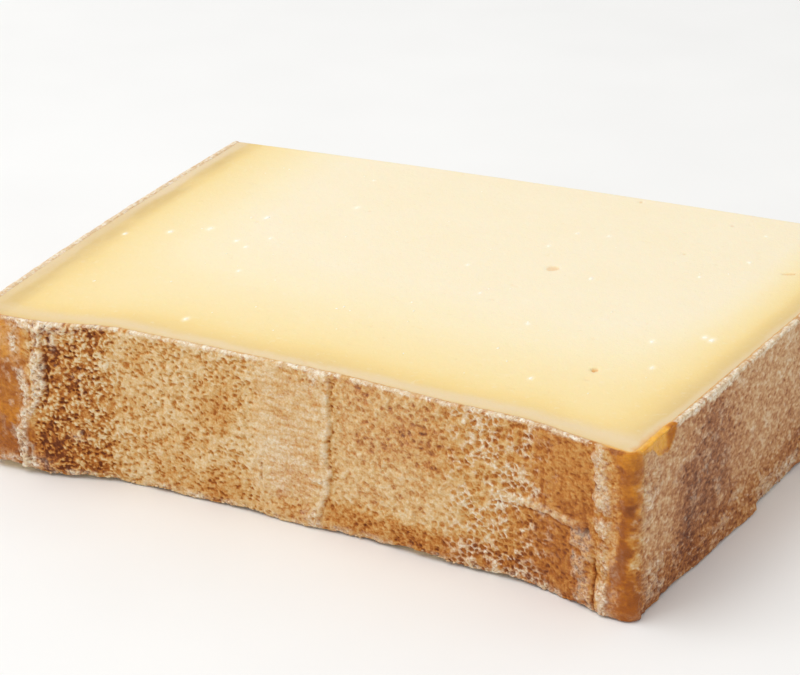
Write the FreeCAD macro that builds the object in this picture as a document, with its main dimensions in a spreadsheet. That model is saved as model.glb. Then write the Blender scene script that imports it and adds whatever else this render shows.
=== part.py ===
"""Slab of Beaufort cheese, laid on one of its two flat cut faces.

The slab is a thick slice taken from a drum-shaped wheel.  The wheel's axis runs from left to
right, along X, in the plane of the top face.  The long front side is the wheel's hollow heel, the
left and right sides are the wheel's two flat faces with their rind, and the back is a knife cut.
+X runs along the heel, +Y from the heel to the back cut and +Z up.  The origin is the middle of
the box's bottom face.  Millimetres and degrees.
"""
import FreeCAD, Part
import math
import os
import Sketcher

DIMENSIONS = [
    # the wheel and the cuts
    ("wheel_radius", 300.0, "from the wheel's axis to its heel corners"),
    ("heel_length", 137.0, "height of the wheel, between its two heel corners"),
    ("slab_thickness", 33.5, "between the two cut faces"),
    ("left_depth", 107.4, "heel corner to back cut, on the left face"),
    ("right_depth", 117.2, "heel corner to back cut, on the right face"),
    ("left_flare", 4.4, "how much further out the left face is at the back"),
    ("right_flare", 9.8, "how much further out the right face is at the back"),
    ("back_radius", 1800.0, "bow of the back cut"),
    ("cut_margin", 12.0, "how far the wheel is built past the cuts before they are made"),
    ("rim_radius", 3.2, "round between the heel and a flat face"),
    # the hollow heel, from left to right
    ("left_foot_width", 14.5, "flat foot beside the left face"),
    ("left_foot_depth", 1.3, "how far in that foot ends"),
    ("left_flank_width", 14.0, "slope from the foot down to the hollow's floor"),
    ("floor_depth", 5.5, "depth of the hollow to the left of the cloth fold"),
    ("fold_offset", 4.6, "middle of the heel to the cloth fold"),
    ("fold_width", 1.3, "width of the fold's slope"),
    ("fold_step", 0.7, "how much deeper the floor is to the right of the fold"),
    ("swell_width", 23.0, "stretch over which the floor comes back out"),
    ("swell_rise", 1.8, "how far it comes back out"),
    ("right_flank_width", 11.0, "slope from the floor up to the right foot"),
    ("right_foot_width", 11.0, "flat foot beside the right face"),
    ("right_foot_depth", 1.7, "how far in that foot ends"),
    ("flank_radius", 25.0, "ease where the feet and the floor meet the flanks"),
    # the two crust ridges left by the hoop's edges
    ("ridge_radius", 2.2, "rounded crest of a ridge"),
    ("ridge_height", 0.8, "how far a ridge stands proud of its foot"),
    ("left_ridge_inset", 13.9, "left heel corner to the left ridge, at the top"),
    ("left_ridge_slant", 6.0, "how much further left it is at the bottom"),
    ("right_ridge_inset", 6.6, "right heel corner to the right ridge, at the top"),
    ("right_ridge_slant", 0.4, "how much further right it is at the bottom"),
    # chips and holes
    ("chip_place", 8.8, "heel to the middle of the rind chip in the right face"),
    ("chip_length", 7.0, "half length of the chip"),
    ("chip_height", 4.6, "its height below the top face"),
    ("chip_depth", 0.8, "how deep it goes into the face"),
    ("break_place", 51.5, "heel to where the right face's lower edge is broken off"),
    ("break_height", 1.3, "height of the broken edge"),
    ("break_depth", 1.4, "how deep it goes into the face"),
    ("eye_inset", 46.1, "right heel corner to the largest eye"),
    ("eye_place", 70.2, "heel to the largest eye"),
    ("eye_radius", 1.3, "its radius"),
    ("eye_depth", 0.7, "its depth"),
    ("pinhole_inset", 20.1, "right heel corner to the small eye"),
    ("pinhole_place", 29.8, "heel to the small eye"),
    ("pinhole_radius", 0.6, "its radius"),
    ("pinhole_depth", 0.7, "its depth"),
    ("slit_inset", 2.9, "right heel corner to the slit"),
    ("slit_place", 89.6, "heel to the slit"),
    ("slit_length", 2.0, "half length of the slit"),
    ("slit_width", 0.45, "half width of the slit"),
    ("slit_depth", 0.8, "its depth"),
]
SIZE = {name: value for name, value, _ in DIMENSIONS}

# Formulas that several features share.
LEFT_X = "(Sizes.left_flare - Sizes.right_flare - Sizes.heel_length) / 2"
RIGHT_X = "(Sizes.left_flare - Sizes.right_flare + Sizes.heel_length) / 2"
HEEL_Y = "-Sizes.right_depth / 2"
AXIS_Y = "Sizes.wheel_radius - Sizes.right_depth / 2"
TOP_Z = "Sizes.slab_thickness"
FACE_SLOPE = "Sizes.right_flare / Sizes.right_depth"
SECTOR_ANGLE = (
    "asin(Sizes.slab_thickness / (Sizes.wheel_radius - Sizes.right_depth"
    " - Sizes.cut_margin)) + 1 deg"
)

SKETCH_ORIGIN = (-1, 1)
RIDGE_LEVELS = (0.0, 0.5, 1.0)
TOLERANCE = 1e-4

doc = FreeCAD.newDocument("cheese_slab")


def make_sheet():
    """The driving dimensions, one row each: name, value and what it is."""
    sheet = doc.addObject("Spreadsheet::Sheet", "Sizes")
    for row, (name, value, note) in enumerate(DIMENSIONS, start=1):
        sheet.set(f"A{row}", name)
        sheet.set(f"B{row}", str(value))
        sheet.set(f"C{row}", note)
        sheet.setAlias(f"B{row}", name)
    doc.recompute()


def place(body, item, x, y, z, role="XY_Plane"):
    """Attach an item to one of the body's planes, its own origin at the formulas x, y, z."""
    plane = next(part for part in body.Origin.OriginFeatures if part.Role == role)
    item.AttachmentSupport = (plane, [""])
    item.MapMode = "FlatFace"
    item.setExpression("AttachmentOffset.Base.x", x)
    item.setExpression("AttachmentOffset.Base.y", y)
    item.setExpression("AttachmentOffset.Base.z", z)


def level_sketch(body, name, x, y, z):
    """An empty horizontal sketch."""
    sketch = body.newObject("Sketcher::SketchObject", name)
    place(body, sketch, x, y, z)
    return sketch


def tie(sketch, kind, start, end, formula, value):
    """Hold the distance from one sketch point to another at a formula of the sheet."""
    index = sketch.addConstraint(Sketcher.Constraint(kind, *start, *end, value))
    sketch.setExpression(f"Constraints[{index}]", formula)


def segment(start, end):
    """A straight sketch line between two (x, y) points."""
    return Part.LineSegment(FreeCAD.Vector(*start, 0), FreeCAD.Vector(*end, 0))


def outline(sketch, curves):
    """Add the curves and join each one's end to the next one's start, all the way round."""
    items = [sketch.addGeometry(curve, False) for curve in curves]
    for item, following in zip(items, items[1:] + items[:1]):
        sketch.addConstraint(Sketcher.Constraint("Coincident", item, 2, following, 1))
    return items


def heel_corners():
    """The heel's corners from left to right: (formula, width) and (formula, depth).

    Widths run from the left heel corner and depths from the heel towards the wheel's axis.
    """
    half = SIZE["heel_length"] / 2
    fold = half + SIZE["fold_offset"]
    fold_end = fold + SIZE["fold_width"]
    right_foot = SIZE["heel_length"] - SIZE["right_foot_width"]
    fold_text = "Sizes.heel_length / 2 + Sizes.fold_offset"
    right_foot_text = "Sizes.heel_length - Sizes.right_foot_width"
    floor_text = "Sizes.floor_depth + Sizes.fold_step"
    swell_text = f"{floor_text} - Sizes.swell_rise"
    floor_depth = SIZE["floor_depth"] + SIZE["fold_step"]
    swell_depth = floor_depth - SIZE["swell_rise"]
    return [
        ("Sizes.left_foot_width", SIZE["left_foot_width"],
         "Sizes.left_foot_depth", SIZE["left_foot_depth"]),
        ("Sizes.left_foot_width + Sizes.left_flank_width",
         SIZE["left_foot_width"] + SIZE["left_flank_width"],
         "Sizes.floor_depth", SIZE["floor_depth"]),
        (fold_text, fold, "Sizes.floor_depth", SIZE["floor_depth"]),
        (f"{fold_text} + Sizes.fold_width", fold_end, floor_text, floor_depth),
        (f"{fold_text} + Sizes.fold_width + Sizes.swell_width",
         fold_end + SIZE["swell_width"], swell_text, swell_depth),
        (f"{right_foot_text} - Sizes.right_flank_width",
         right_foot - SIZE["right_flank_width"], swell_text, swell_depth),
        (right_foot_text, right_foot, "Sizes.right_foot_depth", SIZE["right_foot_depth"]),
    ]


def wheel_sector(body):
    """The wheel's half section, turned about the wheel's axis: heel in front, flaring faces.

    It is built past the back cut by the margin, with both faces carried on in their own line.
    """
    sketch = level_sketch(body, "wheel_profile", LEFT_X, AXIS_Y, TOP_Z)
    heel = -SIZE["wheel_radius"]
    length = SIZE["heel_length"]
    built = SIZE["right_depth"] + SIZE["cut_margin"]
    spread = SIZE["right_flare"] * built / SIZE["right_depth"]
    # The left face is a bow, square to the wheel's axis where it meets the back cut.
    bow_radius = SIZE["left_depth"] ** 2 / (2 * SIZE["left_flare"]) + SIZE["left_flare"] / 2
    bow_centre_x = bow_radius - SIZE["left_flare"]
    bow_inner = bow_centre_x - math.sqrt(bow_radius ** 2 - (built - SIZE["left_depth"]) ** 2)
    corners = heel_corners()
    points = [(0.0, heel)]
    points += [(width, heel + depth) for _, width, _, depth in corners]
    points += [(length, heel), (length + spread, heel + built), (bow_inner, heel + built)]
    curves = [segment(start, end) for start, end in zip(points, points[1:])]
    bow_centre = FreeCAD.Vector(bow_centre_x, heel + SIZE["left_depth"], 0)
    bow = Part.Circle(bow_centre, FreeCAD.Vector(0, 0, 1), bow_radius)
    bow_start = math.pi - math.asin((built - SIZE["left_depth"]) / bow_radius)
    bow_end = math.pi + math.asin(SIZE["left_depth"] / bow_radius)
    curves.append(Part.ArcOfCircle(bow, bow_start, bow_end))
    items = outline(sketch, curves)

    left_corner = (items[0], 1)
    sketch.addConstraint(Sketcher.Constraint("PointOnObject", *left_corner, -2))
    tie(sketch, "DistanceY", left_corner, SKETCH_ORIGIN, "Sizes.wheel_radius", -heel)
    for item, (width_text, width, depth_text, depth) in zip(items, corners):
        tie(sketch, "DistanceX", left_corner, (item, 2), width_text, width)
        tie(sketch, "DistanceY", left_corner, (item, 2), depth_text, depth)
    heel_end, right_face, inner_end, bow_item = items[len(corners):]
    right_corner = (heel_end, 2)
    built_text = "Sizes.right_depth + Sizes.cut_margin"
    centre_text = "Sizes.left_depth ^ 2 / (2 * Sizes.left_flare) - Sizes.left_flare / 2"
    sketch.addConstraint(Sketcher.Constraint("Horizontal", *left_corner, *right_corner))
    tie(sketch, "DistanceX", left_corner, right_corner, "Sizes.heel_length", length)
    tie(sketch, "DistanceX", right_corner, (right_face, 2),
        f"({built_text}) * {FACE_SLOPE}", spread)
    tie(sketch, "DistanceY", right_corner, (right_face, 2), built_text, built)
    sketch.addConstraint(Sketcher.Constraint("Horizontal", inner_end))
    tie(sketch, "DistanceX", left_corner, (bow_item, 3), centre_text, bow_centre_x)
    tie(sketch, "DistanceY", left_corner, (bow_item, 3), "Sizes.left_depth", SIZE["left_depth"])

    sector = body.newObject("PartDesign::Revolution", "wheel_sector")
    sector.Profile = sketch
    sector.ReferenceAxis = (sketch, ["H_Axis"])
    sector.setExpression("Angle", SECTOR_ANGLE)
    return sector


def edges_below(shape, x, y, z):
    """Names of the edges that run down from the point x, y, z of the top face."""
    corner = FreeCAD.Vector(x, y, z)
    names = []
    for number, edge in enumerate(shape.Edges, start=1):
        ends = [vertex.Point for vertex in edge.Vertexes]
        touches = any(end.distanceToPoint(corner) < TOLERANCE for end in ends)
        if touches and min(end.z for end in ends) < z - TOLERANCE:
            names.append(f"Edge{number}")
    return names


def rounded(body, base, name, corners, radius_alias):
    """Round the wheel's circular edges that start at the heel corners (width, depth)."""
    doc.recompute()
    left_x = (SIZE["left_flare"] - SIZE["right_flare"] - SIZE["heel_length"]) / 2
    heel_y = -SIZE["right_depth"] / 2
    edges = []
    for width, depth in corners:
        edges += edges_below(base.Shape, left_x + width, heel_y + depth, SIZE["slab_thickness"])
    if len(edges) != len(corners):
        raise RuntimeError(f"{name}: {len(edges)} edges found for {len(corners)} corners")
    fillet = body.newObject("PartDesign::Fillet", name)
    fillet.Base = (base, edges)
    fillet.setExpression("Radius", f"Sizes.{radius_alias}")
    return fillet


def crust_ridge(body, side):
    """The ridge of crust pressed up by one edge of the hoop, a loft down the heel.

    It stands on the foot of that side and leans a little outwards towards the bottom.
    """
    corner, outward = (LEFT_X, "-") if side == "left" else (RIGHT_X, "+")
    inward = "+" if side == "left" else "-"
    inset = f"Sizes.{side}_ridge_inset"
    slant = f"Sizes.{side}_ridge_slant"
    foot_slope = f"Sizes.{side}_foot_depth / Sizes.{side}_foot_width"
    sections = []
    for level in RIDGE_LEVELS:
        x = f"{corner} {inward} {inset} {outward} {slant} * {level}"
        seat_radius = f"(Sizes.wheel_radius - ({inset} - {slant} * {level}) * {foot_slope})"
        drop = f"(Sizes.slab_thickness * {level})"
        surface = f"{AXIS_Y} - sqrt({seat_radius} ^ 2 - {drop} ^ 2)"
        y = f"{surface} + Sizes.ridge_radius - Sizes.ridge_height"
        z = f"{TOP_Z} - {drop}"
        sketch = level_sketch(body, f"{side}_ridge_{len(sections)}", x, y, z)
        centre = FreeCAD.Vector(0, 0, 0)
        circle = Part.Circle(centre, FreeCAD.Vector(0, 0, 1), SIZE["ridge_radius"])
        item = sketch.addGeometry(circle, False)
        sketch.addConstraint(Sketcher.Constraint("Coincident", item, 3, -1, 1))
        radius = sketch.addConstraint(Sketcher.Constraint("Radius", item, SIZE["ridge_radius"]))
        sketch.setExpression(f"Constraints[{radius}]", "Sizes.ridge_radius")
        sections.append(sketch)
    ridge = body.newObject("PartDesign::AdditiveLoft", f"{side}_ridge")
    ridge.Profile = sections[0]
    ridge.Sections = sections[1:]


def frame_sides(sketch, items, kinds):
    """Keep the straight sides of a cutting area level or upright, in turn."""
    for item, kind in zip(items, kinds):
        sketch.addConstraint(Sketcher.Constraint(kind, item))


def through_cut(body, name, sketch):
    """Cut the sketch's area out of the slab, all the way down."""
    cut = body.newObject("PartDesign::Pocket", name)
    cut.Profile = sketch
    cut.Type = "ThroughAll"


def under_cut(body):
    """The lower knife cut: everything of the wheel below the resting face goes."""
    sketch = level_sketch(body, "under_cut_area", LEFT_X, HEEL_Y, "0")
    margin = SIZE["cut_margin"]
    left = -SIZE["left_flare"] - margin
    right = SIZE["heel_length"] + SIZE["right_flare"] + margin
    back = SIZE["right_depth"] + 2 * margin
    corners = [(left, -margin), (right, -margin), (right, back), (left, back)]
    items = outline(sketch, [segment(a, b) for a, b in zip(corners, corners[1:] + corners[:1])])
    frame_sides(sketch, items, ("Horizontal", "Vertical", "Horizontal", "Vertical"))
    near = (items[0], 1)
    far = (items[1], 2)
    tie(sketch, "DistanceX", near, SKETCH_ORIGIN, "Sizes.left_flare + Sizes.cut_margin", -left)
    tie(sketch, "DistanceY", near, SKETCH_ORIGIN, "Sizes.cut_margin", margin)
    tie(sketch, "DistanceX", SKETCH_ORIGIN, far,
        "Sizes.heel_length + Sizes.right_flare + Sizes.cut_margin", right)
    tie(sketch, "DistanceY", SKETCH_ORIGIN, far, "Sizes.right_depth + 2 * Sizes.cut_margin", back)
    through_cut(body, "under_cut", sketch)


def back_cut(body):
    """The upright knife cut at the back: a bow through both back corners, run on past them."""
    sketch = level_sketch(body, "back_cut_area", LEFT_X, HEEL_Y, TOP_Z)
    margin = SIZE["cut_margin"]
    radius = SIZE["back_radius"]
    back_left = FreeCAD.Vector(-SIZE["left_flare"], SIZE["left_depth"], 0)
    back_right = FreeCAD.Vector(SIZE["heel_length"] + SIZE["right_flare"], SIZE["right_depth"], 0)
    along = back_right - back_left
    across = FreeCAD.Vector(along.y, -along.x, 0).normalize()
    half = along.Length / 2
    centre = (back_left + back_right) / 2 + across * math.sqrt(radius ** 2 - half ** 2)
    left = back_left.x - margin
    right = back_right.x + margin
    far = back_right.y + 2 * margin
    start_angle = math.acos((right - centre.x) / radius)
    end_angle = math.acos((left - centre.x) / radius)
    bow = Part.Circle(centre, FreeCAD.Vector(0, 0, 1), radius)
    left_y = centre.y + radius * math.sin(end_angle)
    right_y = centre.y + radius * math.sin(start_angle)
    corners = [(left, left_y), (left, far), (right, far), (right, right_y)]
    curves = [Part.ArcOfCircle(bow, start_angle, end_angle)]
    curves += [segment(a, b) for a, b in zip(corners, corners[1:])]
    items = outline(sketch, curves)
    frame_sides(sketch, items[1:], ("Vertical", "Horizontal", "Vertical"))
    right_text = "Sizes.heel_length + Sizes.right_flare"
    tie(sketch, "DistanceX", (items[0], 2), SKETCH_ORIGIN,
        "Sizes.left_flare + Sizes.cut_margin", -left)
    tie(sketch, "DistanceX", SKETCH_ORIGIN, (items[0], 1),
        f"{right_text} + Sizes.cut_margin", right)
    tie(sketch, "DistanceY", SKETCH_ORIGIN, (items[2], 1),
        "Sizes.right_depth + 2 * Sizes.cut_margin", far)
    # The two back corners of the slab, which the bow passes through.
    left_mark = (sketch.addGeometry(Part.Point(back_left), True), 1)
    right_mark = (sketch.addGeometry(Part.Point(back_right), True), 1)
    tie(sketch, "DistanceX", left_mark, SKETCH_ORIGIN, "Sizes.left_flare", -back_left.x)
    tie(sketch, "DistanceY", SKETCH_ORIGIN, left_mark, "Sizes.left_depth", back_left.y)
    tie(sketch, "DistanceX", SKETCH_ORIGIN, right_mark, right_text, back_right.x)
    tie(sketch, "DistanceY", SKETCH_ORIGIN, right_mark, "Sizes.right_depth", back_right.y)
    for mark in (left_mark, right_mark):
        sketch.addConstraint(Sketcher.Constraint("PointOnObject", *mark, items[0]))
    bow_radius = sketch.addConstraint(Sketcher.Constraint("Radius", items[0], radius))
    sketch.setExpression(f"Constraints[{bow_radius}]", "Sizes.back_radius")
    through_cut(body, "back_cut", sketch)


def top_hole(body, name, half_x, half_y):
    """Take half an ellipsoid out of the top face, at the place that the sheet gives by name."""
    hole = body.newObject("PartDesign::SubtractiveEllipsoid", name)
    place(body, hole, f"{RIGHT_X} - Sizes.{name}_inset", f"{HEEL_Y} + Sizes.{name}_place", TOP_Z)
    hole.setExpression("Radius1", f"Sizes.{name}_depth")
    hole.setExpression("Radius2", half_x)
    hole.setExpression("Radius3", half_y)


def rind_chip(body):
    """The chip at the top of the right face, where the rind has come away in a round flake."""
    chip = body.newObject("PartDesign::SubtractiveCylinder", "rind_chip")
    radius = "(Sizes.chip_length ^ 2 + Sizes.chip_height ^ 2) / (2 * Sizes.chip_height)"
    x = f"{RIGHT_X} + Sizes.chip_place * {FACE_SLOPE} - Sizes.chip_depth"
    # In the YZ plane the offset's own x, y and z run along the slab's +Y, +Z and +X.
    place(body, chip, f"{HEEL_Y} + Sizes.chip_place",
          f"{TOP_Z} + {radius} - Sizes.chip_height", x, "YZ_Plane")
    upright = FreeCAD.Rotation(FreeCAD.Vector(0, 1, 0), 1)
    chip.AttachmentOffset = FreeCAD.Placement(FreeCAD.Vector(), upright)
    chip.setExpression("AttachmentOffset.Rotation.Angle", f"-atan({FACE_SLOPE})")
    chip.setExpression("Radius", radius)
    chip.setExpression("Height", "Sizes.chip_depth + Sizes.cut_margin")


def eye(body):
    """The largest eye in the top face."""
    top_hole(body, "eye", "Sizes.eye_radius", "Sizes.eye_radius")


def pinhole(body):
    """A small eye near the right heel corner."""
    top_hole(body, "pinhole", "Sizes.pinhole_radius", "Sizes.pinhole_radius")


def slit(body):
    """A short slit in the top face beside the right rind."""
    top_hole(body, "slit", "Sizes.slit_length", "Sizes.slit_width")


def broken_edge(body):
    """The lower edge of the right face, broken off from part way along to the back cut."""
    edge = body.newObject("PartDesign::SubtractiveBox", "broken_edge")
    x = f"{RIGHT_X} + Sizes.break_place * {FACE_SLOPE} - Sizes.break_depth"
    place(body, edge, x, f"{HEEL_Y} + Sizes.break_place", "0")
    edge.setExpression("AttachmentOffset.Rotation.Angle", f"-atan({FACE_SLOPE})")
    edge.setExpression("Length", "Sizes.break_depth + Sizes.cut_margin")
    edge.setExpression("Width", "Sizes.right_depth - Sizes.break_place + Sizes.cut_margin")
    edge.setExpression("Height", "Sizes.break_height")


def check_state():
    """Stop if any object of the document failed."""
    for item in doc.Objects:
        if "Invalid" in item.State or "Error" in item.State:
            raise RuntimeError(f"{item.Name} failed: {item.State}")


def cheese_slab():
    """The slab: a sector of the wheel, its ridges, and then the cuts, chips and holes."""
    body = doc.addObject("PartDesign::Body", "cheese_slab")
    body.Label = "cheese_slab"
    sector = wheel_sector(body)
    rim = rounded(body, sector, "rim_round", [(0.0, 0.0), (SIZE["heel_length"], 0.0)],
                  "rim_radius")
    # The fold keeps its crisp edges; the other corners of the heel are eased.
    places = [(width, depth) for _, width, _, depth in heel_corners()]
    rounded(body, rim, "flank_ease", places[:2] + places[4:], "flank_radius")
    crust_ridge(body, "left")
    crust_ridge(body, "right")
    doc.recompute()
    check_state()
    volume = body.Shape.Volume
    for step in (under_cut, back_cut, rind_chip, broken_edge, eye, pinhole, slit):
        step(body)
        doc.recompute()
        check_state()
        print(f"{step.__name__}: {volume - body.Shape.Volume:.1f} mm3 removed")
        if body.Shape.Volume >= volume:
            raise RuntimeError(f"{step.__name__} cut nothing")
        volume = body.Shape.Volume
    return body


make_sheet()
slab = cheese_slab()
doc.recompute()
check_state()
shape = slab.Shape
if shape.isNull() or not shape.isValid() or len(shape.Solids) != 1:
    raise RuntimeError("cheese_slab is not one valid solid")
box = shape.optimalBoundingBox()
print(f"box {box.XMin:.2f}..{box.XMax:.2f}, {box.YMin:.2f}..{box.YMax:.2f}, "
      f"{box.ZMin:.2f}..{box.ZMax:.2f} mm, volume {shape.Volume / 1000:.1f} cm3")
os.makedirs("parts", exist_ok=True)
shape.exportStep("parts/cheese_slab.step")
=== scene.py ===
"""Looks of the Beaufort slab: pale cut paste, and the rind of the wheel's heel and flat faces.

Places are worked out in the slab's own terms, in millimetres: `along` runs along the heel from
its middle to the right, `deep` goes from the heel towards the back cut, and `drop` goes down from
the top face.  Meshes are written in metres in the frame's axes.
"""

import math

import bmesh
import bpy
import numpy as np
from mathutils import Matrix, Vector


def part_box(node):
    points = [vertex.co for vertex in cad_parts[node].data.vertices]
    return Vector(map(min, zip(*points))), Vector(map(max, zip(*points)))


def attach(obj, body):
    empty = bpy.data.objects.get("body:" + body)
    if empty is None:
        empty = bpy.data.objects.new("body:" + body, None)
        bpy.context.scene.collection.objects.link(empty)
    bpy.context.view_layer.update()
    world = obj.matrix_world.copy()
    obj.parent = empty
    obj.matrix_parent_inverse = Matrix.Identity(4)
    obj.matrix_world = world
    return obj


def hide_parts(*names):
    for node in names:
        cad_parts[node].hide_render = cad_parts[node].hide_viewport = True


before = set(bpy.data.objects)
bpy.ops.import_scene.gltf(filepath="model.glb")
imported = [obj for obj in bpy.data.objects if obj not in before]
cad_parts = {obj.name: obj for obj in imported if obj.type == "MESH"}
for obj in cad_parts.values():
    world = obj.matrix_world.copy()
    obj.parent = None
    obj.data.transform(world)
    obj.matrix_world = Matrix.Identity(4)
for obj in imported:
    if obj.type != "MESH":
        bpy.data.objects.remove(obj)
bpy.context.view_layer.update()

# The CAD node that the paste replaces, and the body of every piece.
NODE = "cheese_slab"
BODY = "root"
MM = 0.001

# The wheel's sizes, as the construction has them.
WHEEL_RADIUS = 300.0
LEFT_FLARE = 4.4
RIGHT_FLARE = 9.8
LEFT_DEPTH = 107.4
RIGHT_DEPTH = 117.2
BACK_RADIUS = 1800.0
RIM_REACH = 3.0
CHIP_PLACE = 8.8

LOW, HIGH = (np.array(corner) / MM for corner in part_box(NODE))
HALF_HEEL = (HIGH[0] - LOW[0] - LEFT_FLARE - RIGHT_FLARE) / 2
MIDDLE_X = LOW[0] + LEFT_FLARE + HALF_HEEL
HEEL_Y = HIGH[1] - RIGHT_DEPTH
TOP = HIGH[2]

PASTE_INSET = 0.9   # the paste stays this far inside the rind's outer face
CHIP_ROOM = 0.4     # and this much further in behind the chip
PASTE_SINK = 0.16   # the cut face lies this far below the box's top
SHELL = 1.7         # thickness of the rind


# ---------------------------------------------------------------- noise

class Noise:
    """Smooth random fields on the plane, the same on every run."""

    SIZE = 256

    def __init__(self, seed):
        self.grid = np.random.default_rng(seed).random((self.SIZE, self.SIZE))

    def smooth(self, x, y, cell, cell_y=None):
        """A soft field from 0 to 1 whose lumps are about a cell across."""
        gx = x / cell
        gy = y / (cell_y or cell)
        x0 = np.floor(gx)
        y0 = np.floor(gy)
        fx = gx - x0
        fy = gy - y0
        fx = fx * fx * (3 - 2 * fx)
        fy = fy * fy * (3 - 2 * fy)
        i = x0.astype(int) % self.SIZE
        j = y0.astype(int) % self.SIZE
        i1 = (i + 1) % self.SIZE
        j1 = (j + 1) % self.SIZE
        low = self.grid[i, j] * (1 - fx) + self.grid[i1, j] * fx
        high = self.grid[i, j1] * (1 - fx) + self.grid[i1, j1] * fx
        return low * (1 - fy) + high * fy

    def rough(self, x, y, cell, octaves=3, cell_y=None, gain=0.5):
        """Several smooth fields of finer and finer lumps, added, from 0 to 1."""
        total = 0.0
        weight = 1.0
        weights = 0.0
        cell_y = cell_y or cell
        for octave in range(octaves):
            shift = 17.3 * octave
            total = total + weight * self.smooth(x + shift, y - shift, cell, cell_y)
            weights += weight
            weight *= gain
            cell /= 2
            cell_y /= 2
        return total / weights

    def cells(self, x, y, cell, cell_y, jitter):
        """Distances to the nearest and second nearest seed, and the nearest seed's own number."""
        gx = x / cell
        gy = y / cell_y
        x0 = np.floor(gx)
        y0 = np.floor(gy)
        first = np.full(x.shape, 9.0)
        second = np.full(x.shape, 9.0)
        number = np.zeros(x.shape)
        for dx in (-1, 0, 1):
            for dy in (-1, 0, 1):
                i = (x0 + dx).astype(int) % self.SIZE
                j = (y0 + dy).astype(int) % self.SIZE
                sx = x0 + dx + 0.5 + jitter * (self.grid[i, j] - 0.5)
                sy = y0 + dy + 0.5 + jitter * (self.grid[j, i] - 0.5)
                distance = np.hypot(gx - sx, gy - sy)
                own = self.grid[(i * 7 + 3) % self.SIZE, (j * 5 + 1) % self.SIZE]
                nearer = distance < first
                second = np.where(nearer, first, np.minimum(second, distance))
                number = np.where(nearer, own, number)
                first = np.where(nearer, distance, first)
        return first, second, number


def ramp(value, start, end):
    """0 before start, 1 after end and smooth between them; start may be the larger."""
    t = np.clip((value - start) / (end - start), 0.0, 1.0)
    return t * t * (3 - 2 * t)


def band(value, start, end, soft):
    """1 between start and end, fading out over soft at both."""
    return ramp(value, start - soft, start + soft) * ramp(value, end + soft, end - soft)


def spot(x, y, cx, cy, rx, ry):
    """A soft round spot, 1 in its middle."""
    return np.exp(-(((x - cx) / rx) ** 2 + ((y - cy) / ry) ** 2))


def spots(x, y, rows):
    """The sum of soft spots, each (x, y, x radius, y radius, strength)."""
    return sum(strength * spot(x, y, cx, cy, rx, ry) for cx, cy, rx, ry, strength in rows)


# ---------------------------------------------------------------- the wheel's outline

HEEL_CORNERS = (
    (-HALF_HEEL, 0.0), (-54.0, 1.3), (-40.0, 5.6), (5.2, 6.2), (28.9, 4.5), (46.5, 4.4),
    (57.5, 1.7), (HALF_HEEL, 0.0),
)
HEEL_EASE = 2.2      # how far the easing of those corners spreads
OUTLINE_STEP = 0.1   # between the line's stored points
FACE_STEP = 0.4      # between its first points on the flat faces
HEEL_STEP = 0.2      # and on the heel
TANGENT_PASSES = 6
RIM_POINTS = 24
RIM_PULL = 0.6       # how far a rim's handles reach towards the corner


def heel_depth(along):
    """Depth of the hollow heel in the top face, its corners eased."""
    reach = np.arange(-3, 3.01, 0.25)
    weights = np.exp(-reach ** 2 / 2)
    xs = [corner[0] for corner in HEEL_CORNERS]
    depths = [corner[1] for corner in HEEL_CORNERS]
    inside = np.clip(along, -HALF_HEEL + 0.1, HALF_HEEL - 0.1)
    eased = sum(weight * np.interp(inside + HEEL_EASE * r, xs, depths)
                for r, weight in zip(reach, weights)) / weights.sum()
    near_end = ramp(HALF_HEEL - np.abs(along), 8.0, 2.0)
    return eased * (1 - near_end) + np.interp(along, xs, depths) * near_end


def left_face(deep):
    """How far along the left face is, a bow that ends square to the wheel's axis."""
    radius = LEFT_DEPTH ** 2 / (2 * LEFT_FLARE) + LEFT_FLARE / 2
    return -HALF_HEEL - LEFT_FLARE + radius - np.sqrt(radius ** 2 - (LEFT_DEPTH - deep) ** 2)


def right_face(deep):
    """How far along the right face is, a straight flare."""
    return HALF_HEEL + RIGHT_FLARE * deep / RIGHT_DEPTH


def back_cut(along):
    """Depth of the bowed back cut."""
    ends = np.array([[-HALF_HEEL - LEFT_FLARE, LEFT_DEPTH],
                     [HALF_HEEL + RIGHT_FLARE, RIGHT_DEPTH]])
    chord = ends[1] - ends[0]
    half = np.hypot(*chord) / 2
    across = np.array([chord[1], -chord[0]]) / (2 * half)
    centre = ends.mean(0) + across * math.sqrt(BACK_RADIUS ** 2 - half ** 2)
    return centre[1] + np.sqrt(BACK_RADIUS ** 2 - (along - centre[0]) ** 2)


def heel_fall(deep, drop):
    """How much further back the wheel's curve lies at a drop."""
    return WHEEL_RADIUS - deep - np.sqrt((WHEEL_RADIUS - deep) ** 2 - drop ** 2)


def on_face(tangent):
    """Where the line runs along a flat face and not along the heel."""
    return np.abs(tangent[..., 1]) > 0.5


def rim(start, corner, end):
    """A round between two sides that meet at a corner."""
    t = np.linspace(0, 1, RIM_POINTS)[1:-1, None]
    start_pull = start + RIM_PULL * (corner - start)
    end_pull = end + RIM_PULL * (corner - end)
    return ((1 - t) ** 3 * start + 3 * (1 - t) ** 2 * t * start_pull
            + 3 * (1 - t) * t ** 2 * end_pull + t ** 3 * end)


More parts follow.
